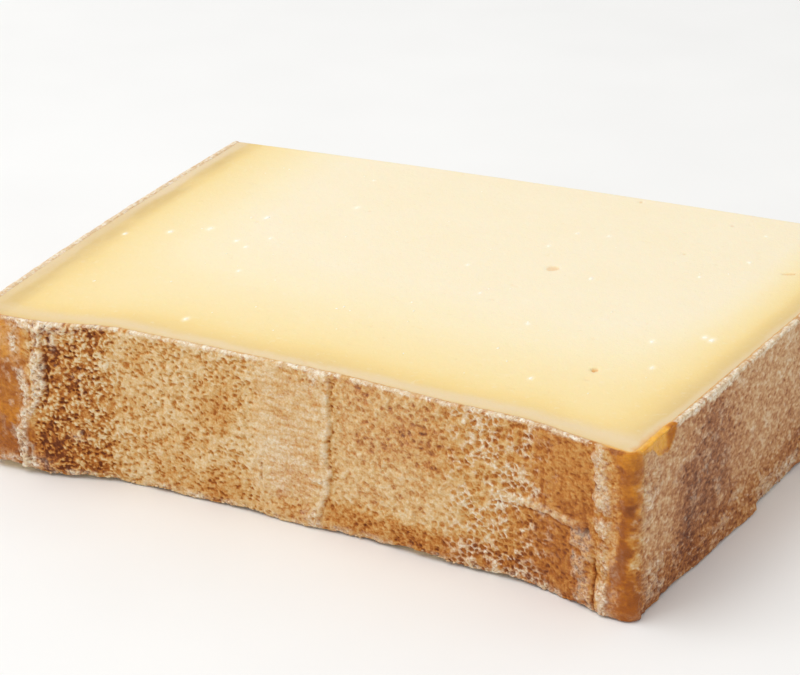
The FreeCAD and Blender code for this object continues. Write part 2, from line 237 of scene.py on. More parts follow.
class Outline:
    """The rind's line in the top face: left face, heel and right face, from back to back."""

    def __init__(self):
        deep = np.arange(LEFT_DEPTH, RIM_REACH, -FACE_STEP)
        left = np.stack([left_face(deep), deep], 1)
        along = np.arange(-HALF_HEEL + RIM_REACH, HALF_HEEL - RIM_REACH + 0.01, HEEL_STEP)
        heel = np.stack([along, heel_depth(along)], 1)
        deep = np.arange(RIM_REACH, RIGHT_DEPTH + 0.01, FACE_STEP)
        right = np.stack([right_face(deep), deep], 1)
        left_rim = rim(left[-1], np.array([-HALF_HEEL, 0.0]), heel[0])
        right_rim = rim(heel[-1], np.array([HALF_HEEL, 0.0]), right[0])
        points = np.concatenate([left, left_rim, heel, right_rim, right])
        length = np.concatenate([[0], np.cumsum(np.hypot(*np.diff(points, axis=0).T))])
        self.length = np.arange(0, length[-1], OUTLINE_STEP)
        self.along = np.interp(self.length, length, points[:, 0])
        self.deep = np.interp(self.length, length, points[:, 1])
        tangent = np.stack([np.gradient(self.along), np.gradient(self.deep)], 1)
        for _ in range(TANGENT_PASSES):
            tangent[1:-1] = (tangent[:-2] + 2 * tangent[1:-1] + tangent[2:]) / 4
        self.tangent = tangent / np.linalg.norm(tangent, axis=1)[:, None]
        count = len(length)
        self.left_corner = length[len(left) + len(left_rim) // 2]
        self.right_corner = length[count - len(right) - len(right_rim) // 2]

    def at(self, length):
        """(along, deep, tangent) at lengths along the line."""
        along = np.interp(length, self.length, self.along)
        deep = np.interp(length, self.length, self.deep)
        tx = np.interp(length, self.length, self.tangent[:, 0])
        ty = np.interp(length, self.length, self.tangent[:, 1])
        size = np.hypot(tx, ty)
        return along, deep, np.stack([tx / size, ty / size], -1)

    def place(self, length, drop, lift):
        """(along, deep) of the rind at a drop, lifted outwards by lift.

        The heel falls back with the wheel's curve.  On the flat faces that curve only slides the
        line along the face, so it is taken out again there.
        """
        along, deep, tangent = self.at(length)
        fall = heel_fall(deep, drop)
        slide = ramp(deep, 3.0, 20.0) * on_face(tangent)
        safe = np.where(on_face(tangent), tangent[..., 1], 1.0)
        along = along - slide * fall * tangent[..., 0] / safe + tangent[..., 1] * lift
        deep = deep + (1 - slide) * fall - tangent[..., 0] * lift
        return along, deep


OUTLINE = Outline()


def to_frame(along, deep, drop):
    """Points of the slab's own terms in the frame's axes, in metres and inside the CAD box."""
    along, deep, drop = np.broadcast_arrays(along, deep, drop)
    points = np.stack([MIDDLE_X + along, HEEL_Y + deep, TOP - drop], -1)
    return np.clip(points, LOW, HIGH) * MM


# ---------------------------------------------------------------- meshes

def quads(rows, columns, closed=False):
    """Faces of a grid of points stored row by row; closed joins the last row to the first."""
    i, j = np.meshgrid(np.arange(rows if closed else rows - 1), np.arange(columns - 1),
                       indexing="ij")
    below = (i + 1) % rows
    faces = [i * columns + j, below * columns + j, below * columns + j + 1, i * columns + j + 1]
    return np.stack(faces, -1).reshape(-1, 4)


def make_piece(name, points, faces, fields, material, uv=None):
    """A mesh object that rides on the slab's body, with a float attribute for each field."""
    mesh = bpy.data.meshes.new(name)
    sizes = np.array([len(face) for face in faces])
    corners = np.concatenate([np.asarray(face) for face in faces])
    mesh.vertices.add(len(points))
    mesh.vertices.foreach_set("co", np.asarray(points, np.float32).ravel())
    mesh.loops.add(len(corners))
    mesh.loops.foreach_set("vertex_index", corners.astype(np.int32))
    mesh.polygons.add(len(sizes))
    starts = np.concatenate([[0], np.cumsum(sizes)[:-1]])
    mesh.polygons.foreach_set("loop_start", starts.astype(np.int32))
    mesh.polygons.foreach_set("use_smooth", np.full(len(sizes), True))
    mesh.update(calc_edges=True)
    mesh.validate()
    for field, values in fields.items():
        attribute = mesh.attributes.new(field, "FLOAT", "POINT")
        attribute.data.foreach_set("value", np.asarray(values, np.float32).ravel())
    if uv is not None:
        layer = mesh.uv_layers.new(name="OFBake")
        layer.data.foreach_set("uv", np.asarray(uv, np.float32).ravel())
    mesh.materials.append(material)
    build = bmesh.new()
    build.from_mesh(mesh)
    bmesh.ops.recalc_face_normals(build, faces=build.faces)
    build.to_mesh(mesh)
    build.free()
    piece = bpy.data.objects.new(name, mesh)
    bpy.context.collection.objects.link(piece)
    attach(piece, BODY)
    return piece


# ---------------------------------------------------------------- the rind's relief and colour

# Lines down the rind, each (drop, along), and the half widths of the crusts on them.
FOLD_LINE = ((0.0, 6.0), (10.0, 6.0), (15.5, 5.4), (18.8, 5.0), (20.5, 6.1), (23.0, 5.2),
             (25.5, 5.0), (29.3, 3.7), (33.5, 2.0))
LEFT_CRUST = ((0.0, -53.5), (3.0, -54.6), (15.0, -55.0), (18.0, -56.0), (20.0, -58.0),
              (25.0, -59.7), (33.5, -59.3))
LEFT_CRUST_HALF = ((0.0, 0.5), (3.0, 0.8), (8.0, 1.3), (14.0, 1.3), (17.0, 0.6), (21.0, 1.0),
                   (28.0, 1.1), (31.0, 0.8), (33.5, 0.1))
RIGHT_CRUST = ((0.0, 61.2), (8.0, 61.8), (14.0, 62.2), (20.0, 61.8), (33.5, 62.6))
RIGHT_CRUST_HALF = ((0.0, 0.6), (3.0, 1.2), (12.0, 1.3), (15.0, 1.4), (18.0, 1.0), (33.5, 0.9))
RIGHT_WAX = ((0.0, 62.6), (4.0, 64.6), (10.0, 65.4), (20.0, 65.6), (26.0, 63.4), (33.5, 62.4))

# Soft spots on the heel: (along, drop, along radius, drop radius, strength).
HEEL_DARK = (
    (-48.0, 11.5, 4.0, 4.4, 0.7), (-46.5, 16.0, 3.0, 3.4, 0.4), (-54.0, 27.5, 4.2, 6.0, 1.2),
    (-50.5, 6.0, 3.2, 3.4, 0.6), (-44.5, 28.0, 3.6, 4.0, 0.6), (-42.0, 5.0, 2.4, 3.0, 0.4),
    (-52.0, 10.5, 1.4, 3.6, 1.0),
)
HEEL_FLAKES = (
    (-58.0, 15.5, 1.0, 4.2, 1.2), (-59.5, 5.0, 1.1, 3.2, 1.2), (-52.8, 1.3, 4.6, 0.75, 1.5),
    (-51.5, 4.0, 0.65, 1.4, 1.3), (-57.0, 1.0, 2.4, 0.7, 1.2), (-58.0, 31.0, 3.0, 1.4, 0.9),
    (3.1, 22.8, 1.8, 0.5, 1.4), (1.6, 31.0, 1.6, 1.4, 1.2), (-47.5, 24.0, 1.4, 1.0, 0.8),
    (-50.2, 32.2, 0.8, 0.7, 1.2), (-31.5, 32.2, 1.6, 0.6, 0.9), (-24.0, 32.6, 3.0, 0.6, 0.9),
    (49.5, 33.0, 1.6, 0.6, 0.9), (-64.5, 3.8, 2.0, 2.6, 1.3), (3.0, 1.6, 1.2, 1.8, 0.8),
)
HEEL_BROWN = ((-19, 12, 6, 5, 1), (-15, 29, 7, 4, 1))
HEEL_TAN = ((25.5, 9.5, 8.0, 5.0, 2.4), (-16.5, 7.5, 6.0, 6.0, 1.0))
# The same on the right face, by its depth from the heel.
RIGHT_SHADE = (
    (32.0, 4.5, 6.0, 5.0, 0.8), (27.0, 13.0, 7.5, 8.0, 1.1), (22.0, 22.0, 6.0, 5.0, 0.7),
    (34.0, 19.0, 7.0, 8.0, 0.9), (18.0, 12.0, 3.0, 3.0, 0.5),
)
RIGHT_BROWN = ((1.0, 8.0, 2.0, 2.0, 0.6), (1.5, 14.5, 1.6, 2.2, 0.9), (2.4, 19.5, 1.6, 3.0, 1.0),
               (3.0, 25.0, 1.6, 2.4, 0.8))
# A crack on the right face; it is cut in, and its darkening is painted shade.
RIGHT_CRACK_SHADOW = ((62.0, 20.5, 0.35, 2.0, 1.0),)
# How far down the chip reaches, by the depth from the heel.
CHIP_REACH = ((1.2, 0.0), (3.5, 1.1), (6.5, 1.7), (8.4, 3.4), (10.5, 4.2), (13.0, 4.3),
              (14.8, 2.7), (15.8, 0.0))
# Where the lower edge is raised: (along, deep, along radius, deep radius, height).
RAISED_EDGE = ((25.0, 4.5, 8.0, 9.0, 0.9), (-63.0, 0.0, 7.0, 9.0, 1.5),
               (-45.0, 4.0, 6.0, 9.0, 0.4), (42.0, 4.5, 6.0, 9.0, 0.4))
MOST_CRUST = 1.7


def along_line(place, rows):
    """The value at a place of a line given by rows of (place, value)."""
    return np.interp(place, [row[0] for row in rows], [row[1] for row in rows])


def bar(x, centre, half, soft):
    """1 within half of the centre, fading out over soft."""
    return ramp(np.abs(x - centre), half + soft, half - soft)


def heel_rind(length, drop):
    """Relief and looks of the heel.  u is along the heel and w is the drop.

    The looks are body, from 0 dark brown to 1 pale straw; crust, which is whitish; wax, the clear
    orange look of the corners; and glow, how amber the wax is.  The flat faces give the same.
    """
    u, _, _ = OUTLINE.at(length)
    w = drop
    wander = Noise(3)
    warp_u = u + 1.5 * (wander.rough(u, w, 2.6) - 0.5)
    warp_w = w + 1.1 * (wander.rough(w + 40, u, 2.4) - 0.5)
    fine, broad, dots = Noise(12), Noise(13), Noise(14)
    speck = fine.rough(u, w, 0.62, 3)
    lump = broad.rough(u, w, 2.2, 4)
    patchy = broad.rough(u + 90, w - 30, 8.0, 3)
    streak = fine.rough(u, w + 20, 3.2, 3, 0.55)
    fibre = fine.rough(u - 20, w, 0.34, 2, 2.6)

    # Zones of the heel, from its left end to its right end.
    fold = along_line(w, FOLD_LINE) + 1.1 * (fine.rough(w, w * 0 + 5, 1.5) - 0.5)
    left_of_fold = ramp(u, fold + 0.2, fold - 0.2)
    ragged_u = u + 5.0 * (broad.rough(w + 7, u, 3.0) - 0.5)
    panel = ramp(ragged_u, -11.5, -8.5) * left_of_fold * (
        1 - 0.75 * ramp(w + 4 * (lump - 0.5), 25.5, 28.5)) * (0.45 + 0.55 * ramp(w, 1.0, 5.0))
    dark = np.clip(spots(u, w, HEEL_DARK), 0, 1)
    mottled = ramp(u, -58.7, -54.3) * ramp(u + 3.0 * (lump - 0.5), -36.5, -44.0)
    netted = ramp(u + 3.0 * (lump - 0.5), 28.0, 34.0)
    netted = netted * ramp(u + 8.0 * (lump - 0.5), 53.0, 45.0)
    left_wax = band(u + 1.2 * (lump - 0.5), -HALF_HEEL - 3, -57.2, 0.9)
    wax_from = along_line(w, RIGHT_WAX)
    right_wax = ramp(u + 3.4 * (lump - 0.5) + 1.6 * (speck - 0.5) - wax_from, -0.8, 0.8)
    fibrous = ramp(u + 8.0 * (lump - 0.5), 43.0, 52.0) * ramp(u, 61.8, 58.2)
    wax = np.clip(left_wax + right_wax + 0.5 * fibrous, 0, 1)
    plain = np.clip(panel + left_wax + right_wax, 0, 1)

    # The cheese cloth's print: dots and dashes in rows, a net of threads, and pale strands.
    small, _, small_number = Noise(15).cells(warp_u, warp_w, 1.22, 0.90, 0.8)
    dots_in_rows = ramp(small, 0.40, 0.24) * ramp(small_number + 0.5 * (patchy - 0.5), 0.40, 0.48)
    dash_line = np.abs(Noise(18).rough(u, w, 1.25, 2, 0.95) - 0.5)
    dashes = ramp(dash_line, 0.09, 0.03) * ramp(Noise(17).smooth(u, w, 1.3, 1.2), 0.46, 0.58)
    pits = np.maximum(dots_in_rows, dashes * (0.5 + 0.5 * small_number))
    blots = ramp(Noise(18).rough(warp_u + 50, warp_w, 2.3, 3, 1.3), 0.50, 0.66)
    curls = 1 - ramp(np.abs(Noise(19).rough(u, w, 1.5, 2, 1.1) - 0.5), 0.02, 0.08)
    near, second, cell_number = Noise(11).cells(warp_u, warp_w, 1.42, 1.30, 0.9)
    cells = ramp(near, 0.50, 0.38) * ramp(second - near, 0.08, 0.22)
    threads = (1 - cells) * ramp(Noise(20).rough(u, w, 1.6, 3), 0.38, 0.54)
    worms = 1 - ramp(np.abs(broad.rough(u + 60, w, 1.2, 2) - 0.5), 0.04, 0.10)
    beads, _, bead_number = Noise(16).cells(u, w, 1.0, 0.98, 0.9)
    beads = ramp(beads, 0.36, 0.24) * ramp(bead_number, 0.50, 0.56)

    # Crusts, flakes, the fold, creases and cracks.
    torn = 1.5 * (fine.rough(u + 5, w, 1.3, 3) - 0.5)
    left_crust = bar(u + torn, along_line(w, LEFT_CRUST), along_line(w, LEFT_CRUST_HALF), 0.3)
    left_crust *= (1 - band(w, 5.2, 6.0, 0.3)) * (0.35 + 0.65 * ramp(speck, 0.32, 0.52))
    right_crust = bar(u + 1.2 * torn, along_line(w, RIGHT_CRUST), along_line(w, RIGHT_CRUST_HALF),
                      0.4) * ramp(lump + speck * 0.6, 0.52, 0.80)
    beside = band(u + 1.5 * torn, 61.0, 65.6, 0.8) * ramp(lump + 0.5 * speck, 0.56, 0.86)
    beside *= 0.5 + 0.3 * ramp(w, 12.0, 20.0)
    grey_patch = band(u + torn, 55.9, 60.0, 0.4) * ramp(w + torn, 17.0, 18.5) * ramp(
        lump, 0.30, 0.46)
    flakes = np.clip(spots(u, w, HEEL_FLAKES), 0, 1) * ramp(speck + 0.4 * lump, 0.42, 0.66)
    scratch = bar(u, -46.6, 0.22, 0.2) * band(w, 9.0, 17.0, 0.8) + bar(
        w - 10.5 + (u + 46.6) * 0.54, 0, 0.2, 0.2) * band(u, -46.6, -40.5, 0.4)
    scratch *= ramp(speck, 0.25, 0.5)
    top_line = ramp(w, 0.95 + 0.7 * torn, 0.25 + 0.7 * torn) * ramp(
        fine.rough(u, w + 9, 2.2, 3), 0.26, 0.46) * ramp(u, 62.0, 59.5) * (
        0.25 + 0.75 * ramp(u, -63.0, -60.0))
    low_line = ramp(w, 31.2, 32.6) * ramp(fine.rough(u, w - 9, 2.2, 3), 0.42, 0.60)

    crease_line = 16.2 + 0.03 * (u - 43) + 1.0 * (fine.rough(u, u * 0, 3.0) - 0.5)
    crease = bar(w, crease_line + 0.6 * torn, 0.8, 0.35) * band(u, 39.5, 56.5, 2.6) * (
        0.4 + 0.6 * ramp(speck, 0.3, 0.5))
    # Painted shadow: a thin dark line under the raised crease and one right of the fold's lip,
    # besides the small grooves the relief cuts there.
    crease_shadow = bar(w, crease_line + 1.15, 0.2, 0.25) * (
        band(u, 42.5, 57.0, 0.8) + 0.55 * band(u, 28.7, 43.0, 1.0)) * ramp(lump, 0.3, 0.5)
    fold_shadow = bar(u, fold + 0.4, 0.2, 0.25) * ramp(fine.rough(w, w * 0 + 9, 2.2), 0.25, 0.55)
    fold_lip = bar(u + torn, fold - 0.6, 0.55, 0.4) * ramp(
        fine.rough(u, w + 33, 1.8, 3), 0.30, 0.52)
    # Cracks, and a dark line right of the left crust's ridge: the relief cuts them in, and their
    # darkening is painted shade in the cracks and painted shadow beside the ridge.
    crack_shadow = np.clip(
        bar(u, 60.7 + 1.2 * (fine.rough(w, w * 0 + 2, 1.5) - 0.5), 0.16, 0.2)
        * band(w, 22.5, 33.0, 0.5)
        + 1.3 * spot(u, w, 58.9, 17.7, 0.6, 0.8)
        + bar(u + 0.6 * torn, -8.8, 0.14, 0.18) * band(w, 21.0, 25.5, 0.4) * ramp(speck, 0.4, 0.5)
        + 0.8 * bar(u + 0.5 * torn, along_line(w, LEFT_CRUST) + 1.8, 0.35, 0.4)
        * band(w, 7.5, 15.0, 1.0), 0, 1)

    printed = (1 - 0.75 * plain) * (1 - left_crust)
    pitted = pits * (1 - netted) * printed
    right_part = band(u, 9.0, 50.0, 4.0)
    soft_print = ramp(u, fold, fold + 3.0)
    celled = cells * printed * np.maximum(
        netted * ramp(cell_number, 0.05, 0.12), 0.8 * right_part * ramp(cell_number, 0.42, 0.55))
    curled = curls * printed * (1 - netted) * ramp(patchy + 0.5 * speck, 0.60, 0.85)
    relief = 0.26 * (lump - 0.5) * 2 * (1 - 0.5 * plain) + 0.16 * (speck - 0.5) * 2
    relief -= (0.23 - 0.12 * soft_print) * pitted + (0.26 - 0.08 * right_part) * celled
    relief += 0.16 * (worms + beads) * mottled * (1 - left_crust) + 0.08 * curled
    relief += panel * 0.22 + left_of_fold * ramp(u, fold - 6.5, fold - 0.5) * 0.30
    relief -= 0.28 * fold_shadow
    relief += 0.65 * left_crust + 0.36 * right_crust + 0.2 * grey_patch + 0.28 * flakes
    relief += 0.22 * crease - 0.28 * crease_shadow - 0.8 * crack_shadow + 0.10 * scratch
    relief += (0.5 * left_crust + right_crust + 0.5 * grey_patch) * 0.7 * (
        dots.rough(u, w, 0.9, 3) - 0.5)
    relief -= 0.35 * ramp(w, 31.0, 33.5) * (0.3 + fine.smooth(u, w * 0, 2.2))
    low_foot = ramp(u, 54.0, 62.0) + 0.7 * band(u, -9.0, 8.0, 4.0)
    relief += 0.9 * low_foot * ramp(w, 20.0, 33.5) ** 2

    body = 0.71 + 0.16 * (lump - 0.5) + 0.26 * (patchy - 0.5) + 0.20 * (speck - 0.5)
    body -= 0.08 * blots * (1 - 0.7 * plain) * (1 - 0.5 * netted)
    body += 0.10 * band(u, -40, -6, 3) - 0.12 * spots(u, w, HEEL_BROWN)
    body -= 0.06 * band(u, -40, -30, 3) * band(w, 12, 26, 3)
    body += 0.09 * band(w, 15.5, 26.5, 2.0) * band(u, 6, 40, 4)
    body -= 0.04 * band(w, 1.0, 9.0, 2.0) * band(u, 7, 17, 3)
    # The terms here that ramp with w from about 18 mm down darken the heel towards its lower edge:
    # partly the rind's own browner foot, partly painted shade for the little light that comes up
    # from below.
    body -= 0.15 * ramp(w, 25.5, 29.0) * band(u, 4, 48, 3)
    body -= 0.16 * ramp(u, 32.0, 50.0) + 0.08 * band(u, 48.0, 61.0, 2.0)
    body -= ramp(w, 25.0, 30.0) * (
        0.16 * band(u, -32.0, -18.0, 3.0) + 0.05 * band(u, -2.0, 10.0, 2.0)
        + 0.08 * band(u, 18.0, 36.0, 3.0))
    body -= (0.27 - 0.4 * (speck - 0.5)) * mottled + 0.11 * dark
    body -= 0.15 * ramp(w, 18.0, 28.0) * ramp(u, -44.0, -52.0)
    body += 0.60 * mottled * np.maximum(worms * ramp(speck, 0.3, 0.5), beads) * (1 - 0.3 * dark)
    body += 0.10 * curled
    # Darker in the print's pits: partly the print's own brown, partly painted shade in the hollows
    # the relief cuts there.
    body -= (0.44 - 0.22 * soft_print) * pitted * (0.45 + 0.55 * small_number)
    body -= 0.07 * spots(u, w, HEEL_TAN)
    # The second term is more of that darkening towards the lower edge, partly painted shade.
    body -= 0.03 * soft_print + 0.05 * ramp(w, 26.0, 29.0) * band(u, 4.0, 34.0, 3.0)
    body -= 0.05 * fibrous * ramp(w, 17.0, 20.0) + 0.03 * fibrous
    # Darker in the cells: partly the print's own brown, partly painted shade in the hollows.
    body -= 0.34 * celled * (0.5 + 0.5 * cell_number)
    body += 0.20 * (fibre - 0.5) * (fibrous + 0.5 * netted)
    body += panel * (0.40 * (streak - 0.5) - 0.06)
    # Painted shadow along the fold and under the crease, and painted shade in the cracks.
    body -= 0.25 * (fold_shadow + crease_shadow) + 0.45 * crack_shadow
    body += 0.18 * fold_lip + 0.26 * crease + 0.25 * scratch
    clear_spots = ramp(broad.rough(u + 11, w + 70, 3.4, 2), 0.50, 0.80) * (
        1 - 0.7 * ramp(w, 17.0, 22.0))
    body -= 0.24 * clear_spots * (right_wax + 0.6 * left_wax)
    body -= left_wax * (0.20 + 0.08 * ramp(w, 4.0, 14.0) - 0.10 * ramp(w, 26.0, 32.0))
    body -= right_wax * (0.06 + 0.25 * ramp(w, 4.0, 12.0) + 0.01 * ramp(w, 18.0, 24.0)
                         + 0.04 * ramp(w, 27.0, 31.0))
    body -= 0.22 * right_wax * bar(u, wax_from + 0.4, 0.5, 0.8) * ramp(speck + lump, 0.8, 1.1)
    body -= 0.30 * grey_patch * ramp(speck, 0.5, 0.3)
    crust = (1.25 - 0.25 * ramp(w, 16.0, 22.0)) * left_crust + 0.62 * right_crust
    crust = crust + 0.30 * beside + 0.44 * grey_patch + 0.95 * flakes
    crust += 1.3 * top_line + 0.55 * low_line * (1 - 0.8 * right_wax) + 0.35 * fold_lip
    crust = crust + 0.55 * crease + 0.4 * scratch
    crust += panel * (0.26 + 0.9 * (streak - 0.5) + 0.34 * spot(u, w, -4.5, 20.0, 4.5, 6.5))
    crust += 0.95 * threads * netted * ramp(speck + 0.8 * patchy, 0.60, 0.82)
    crust += 0.30 * mottled * beads * ramp(w, 24.0, 12.0)
    crust += 0.14 * soft_print * ramp(u, 34.0, 22.0) * ramp(w, 27.0, 24.0)
    crust += 0.5 * threads * spot(u, w, 40.0, 19.5, 7.0, 4.0)
    crust += 0.16 * panel * spot(u, w, -5.0, 26.0, 5.0, 3.0)
    crust += left_wax * 0.55 * ramp(speck, 0.3, 0.6) * ramp(w + torn, 28.5, 31.0)
    crust += 0.60 * left_wax * ramp(fine.rough(u, w + 90, 1.2, 3, 1.8), 0.56, 0.66) * ramp(
        u, -66.0, -58.0) * ramp(w, 3.0, 8.0)
    wax_look = wax * (1 - left_crust) * (1 - 0.8 * beside) * (1 - grey_patch)
    glow = right_wax * (1 - 0.6 * clear_spots) * (
        0.60 + 0.15 * ramp(w, 20.0, 28.0) + 0.35 * ramp(speck * 0.3 + lump, 0.40, 0.75))
    glow += left_wax * (0.25 + 0.45 * ramp(lump, 0.4, 0.6) + 0.25 * ramp(w, 3.0, 0.5))
    crust = np.clip(crust, 0, MOST_CRUST)
    return relief, body, crust, np.clip(wax_look, 0, 1), np.clip(glow, 0, 1)


def right_rind(length, drop):
    """Relief and looks of the right flat face.  v is the depth from the heel."""
    _, v, _ = OUTLINE.at(length)
    w = drop
    grain, fine, broad = Noise(21), Noise(22), Noise(23)
    slant = v - 0.5 * w
    speck = grain.rough(slant, w, 1.3, 3, 0.85, 0.6)
    grit, _, grit_number = Noise(24).cells(v, w, 1.5, 0.9, 0.95)
    grit = ramp(grit, 0.40, 0.22) * ramp(grit_number, 0.60, 0.68)
    lump = broad.rough(slant, w, 3.4, 4, 2.4)
    patchy = broad.rough(v + 50, w, 9.0, 3)
    small, _, number = fine.cells(v + 0.8 * lump, w + 0.8 * speck, 1.8, 1.0, 0.95)
    pores = ramp(small, 0.36, 0.18) * ramp(number, 0.62, 0.7)
    torn = 1.4 * (grain.rough(v + 15, w + 15, 1.6, 3) - 0.5)

    lip = ramp(w + 0.4 * torn, 27.0, 28.6) * ramp(v, 22.0, 27.0) * ramp(v, 51.8, 51.4)
    chipped = ramp(w + torn, 28.5, 30.0) * band(v, 52.0, 73.0, 0.8)
    chip_reach = along_line(v, CHIP_REACH)
    chip_in = chip_reach + 0.9 * torn - w
    chip = ramp(chip_in, 0.0, 0.35) * ramp(chip_reach, 0.0, 0.4)
    chip_rim = chip * np.maximum(ramp(chip_in, 1.2, 0.3), ramp(v, 12.4, 14.0)) * ramp(v, 8.5, 12.0)
    crack_shadow = spots(v + 0.25 * (w - 20.5), w, RIGHT_CRACK_SHADOW)
    front_crust = band(v + torn, 2.2, 10.0, 1.0) * band(w, 4.0, 15.0, 1.5)
    front_crust *= ramp(lump + 0.5 * speck, 0.55, 0.85)
    low_crust = band(v + torn, 4.5, 12.0, 1.0) * band(w + torn, 24.0, 31.5, 1.0)
    low_crust *= ramp(lump + 0.5 * speck, 0.50, 0.80)
    pale_lump = spot(v, w, 36.0, 24.0, 1.4, 0.9)
    thick = 0.4 + 2.0 * broad.rough(v, v * 0 + 5, 4.5, 3) * (1 - 0.55 * ramp(v, 34.0, 44.0))
    top_line = ramp(w + 0.5 * torn, thick + 0.3, thick - 0.4) * ramp(v, 14.0, 18.0)
    top_line *= ramp(grain.rough(v, w + 5, 1.6, 3), 0.24, 0.42)
    wander = 4.5 * (broad.rough(w + 60, v, 2.6, 3) - 0.5)
    wax = ramp(v + wander + 2.0 * band(w, 13.0, 26.0, 4.0), 3.3, 1.9)
    shade = np.clip(spots(v, w, RIGHT_SHADE), 0, 1)

    dust = Noise(25).rough(slant + 3, w, 0.8, 2, 0.55)
    relief = 0.28 * (lump - 0.5) + 0.08 * (speck - 0.5) - 0.10 * pores + 0.06 * grit
    relief += 0.10 * (dust - 0.5)
    relief = relief * (1 - 0.6 * wax)
    relief += (0.45 + 0.55 * ramp(w, 30.0, 33.0) * ramp(v, 38.0, 50.0)) * lip
    relief -= 0.25 * chipped * ramp(speck, 0.3, 0.6)
    relief -= chip * (0.25 + 0.6 * ramp(chip_in, 0.2, 3.0))
    relief += 0.35 * front_crust + 0.35 * low_crust - 0.5 * crack_shadow + 0.3 * pale_lump
    relief -= 0.35 * ramp(w, 32.0, 33.5) * grain.smooth(v, w * 0, 2.0) * (1 - lip)

    calm = 1 - 0.5 * shade
    body = 0.57 + 0.20 * (lump - 0.5) + 0.20 * (patchy - 0.5) + 0.24 * calm * (speck - 0.5)
    body += 0.40 * calm * (dust - 0.5) - 0.04 * ramp(w, 6.0, 12.0)
    # The pores are darker partly by their own tone, partly by painted shade in the small hollows.
    body += 0.15 * grit - 0.18 * pores * number
    # The crack's darkening is painted shade.
    body -= 0.30 * shade + 0.35 * crack_shadow
    body += 0.04 * ramp(v, 40.0, 60.0) + 0.3 * pale_lump
    # Darker towards the lower edge, more so near the front: partly the rind's own tone, partly
    # painted shade for the little light that comes up from below.
    body -= 0.17 * ramp(w, 20.0, 29.0) + 0.12 * ramp(w, 20.0, 29.0) * ramp(v, 40.0, 22.0)
    brown_spots = (0.4 + 0.6 * wax) * np.clip(spots(v, w, RIGHT_BROWN) * (0.5 + speck), 0, 1)
    body -= 0.28 * brown_spots
    crust = 0.50 * front_crust + 0.50 * low_crust + 1.6 * top_line * (1 - chip)
    crust += 0.55 * chipped * ramp(speck, 0.30, 0.55) + 0.3 * pale_lump
    crust += 0.30 * ramp(lump + 0.6 * speck, 0.92, 1.1) + 0.35 * calm * ramp(dust, 0.66, 0.78)
    chip_streak = grain.rough(v + 0.2 * w, w, 0.9, 2, 4.0) - 0.5
    body = body * (1 - chip) + chip * (
        0.66 + 0.36 * chip_streak + 0.10 * ramp(chip_in, 0.5, 3.0) - 0.40 * chip_rim)
    glow = np.maximum(chip, wax * (0.5 + 0.15 * ramp(w, 20.0, 28.0)
                                   + 0.4 * ramp(lump + 0.3 * speck, 0.45, 0.8))
                      * (1 - 0.7 * brown_spots))
    crust = np.clip(crust * (1 - chip), 0, MOST_CRUST)
    return relief, body, crust, np.clip(wax + chip, 0, 1), np.clip(glow, 0, 1)


def left_rind(length, drop):
    """Relief and looks of the left flat face, which stands away from the view."""
    _, v, _ = OUTLINE.at(length)
    w = drop
    grain, broad = Noise(31), Noise(33)
    speck = grain.rough(v, w, 0.8, 3)
    lump = broad.rough(v, w, 2.8, 4)
    patchy = broad.rough(v + 20, w, 11.0, 3)
    small, _, number = Noise(32).cells(v + lump, w + speck, 1.6, 1.3, 0.95)
    pores = ramp(small, 0.36, 0.18) * ramp(number, 0.6, 0.7)
    relief = 0.40 * (lump - 0.5) + 0.30 * (speck - 0.5) - 0.12 * pores
    relief -= 0.3 * ramp(w, 32.0, 33.5) * grain.smooth(v, w * 0, 2.0)
    body = 0.56 + 0.34 * (lump - 0.5) + 0.30 * (patchy - 0.5) + 0.36 * (speck - 0.5)
    # Darker in the pores, partly their own tone and partly painted shade in the hollows.
    body -= 0.14 * pores * number - 0.35 * ramp(w, 1.2, 0.4)
    top_line = ramp(w, 1.5, 0.6) * (0.6 + 0.5 * ramp(speck, 0.22, 0.42))
    wax = ramp(v, 3.5, 0.8)
    crust = top_line + 0.35 * ramp(lump + 0.6 * speck, 0.90, 1.1)
    return relief, body, np.clip(crust, 0, MOST_CRUST), wax, 0.3 * wax


def blend(first, second, weight):
    """Mix two sets of fields."""
    return [a * (1 - weight) + b * weight for a, b in zip(first, second)]


def rind_looks(length, drop):
    """The heel's looks, running over into those of the flat faces round the rims."""
    looks = heel_rind(length, drop)
    wander = 3.6 * (Noise(42).rough(drop, length, 2.4, 4, 3.0) - 0.5)
    if length.min() < OUTLINE.left_corner:
        weight = ramp(length + wander, OUTLINE.left_corner - 1.0, OUTLINE.left_corner - 3.5)
        looks = blend(looks, left_rind(length, drop), weight)
    if length.max() > OUTLINE.right_corner:
        early = 1.6 * band(drop, 13.0, 26.0, 4.0)
        weight = ramp(length + wander + early, OUTLINE.right_corner + 0.3,
                      OUTLINE.right_corner + 1.8)
        looks = blend(looks, right_rind(length, drop), weight)
    return looks


def bottom_drop(length):
    """How far down the ragged lower edge comes."""
    ragged = Noise(41)
    dip = ragged.rough(length, length * 0, 3.1, 4, gain=0.6)
    along, deep, _ = OUTLINE.at(length)
    on_heel = band(deep, -9.0, 8.0, 1.0)
    raised = spots(along, deep, RAISED_EDGE)
    return TOP - 0.9 * np.clip(dip - 0.25, 0, 1) - raised * on_heel


RIND_TOP = 0.30     # the rind's outer side starts this far down
UNDERCUT = 1.2      # and its lower edge turns in this far
# Rows of the torn upper rim: (inward, drop).
RIM_STEPS = ((1.55, 0.36), (1.15, 0.18), (0.75, 0.07), (0.40, 0.05), (0.15, 0.12))
UV_STRIPS = 2
PAST_CORNER = 2.5   # the heel's shell runs on past its corners
LEFT_MESH = 0.55    # distances between the shells' points
HEEL_MESH = 0.236
RIGHT_MESH = 0.26


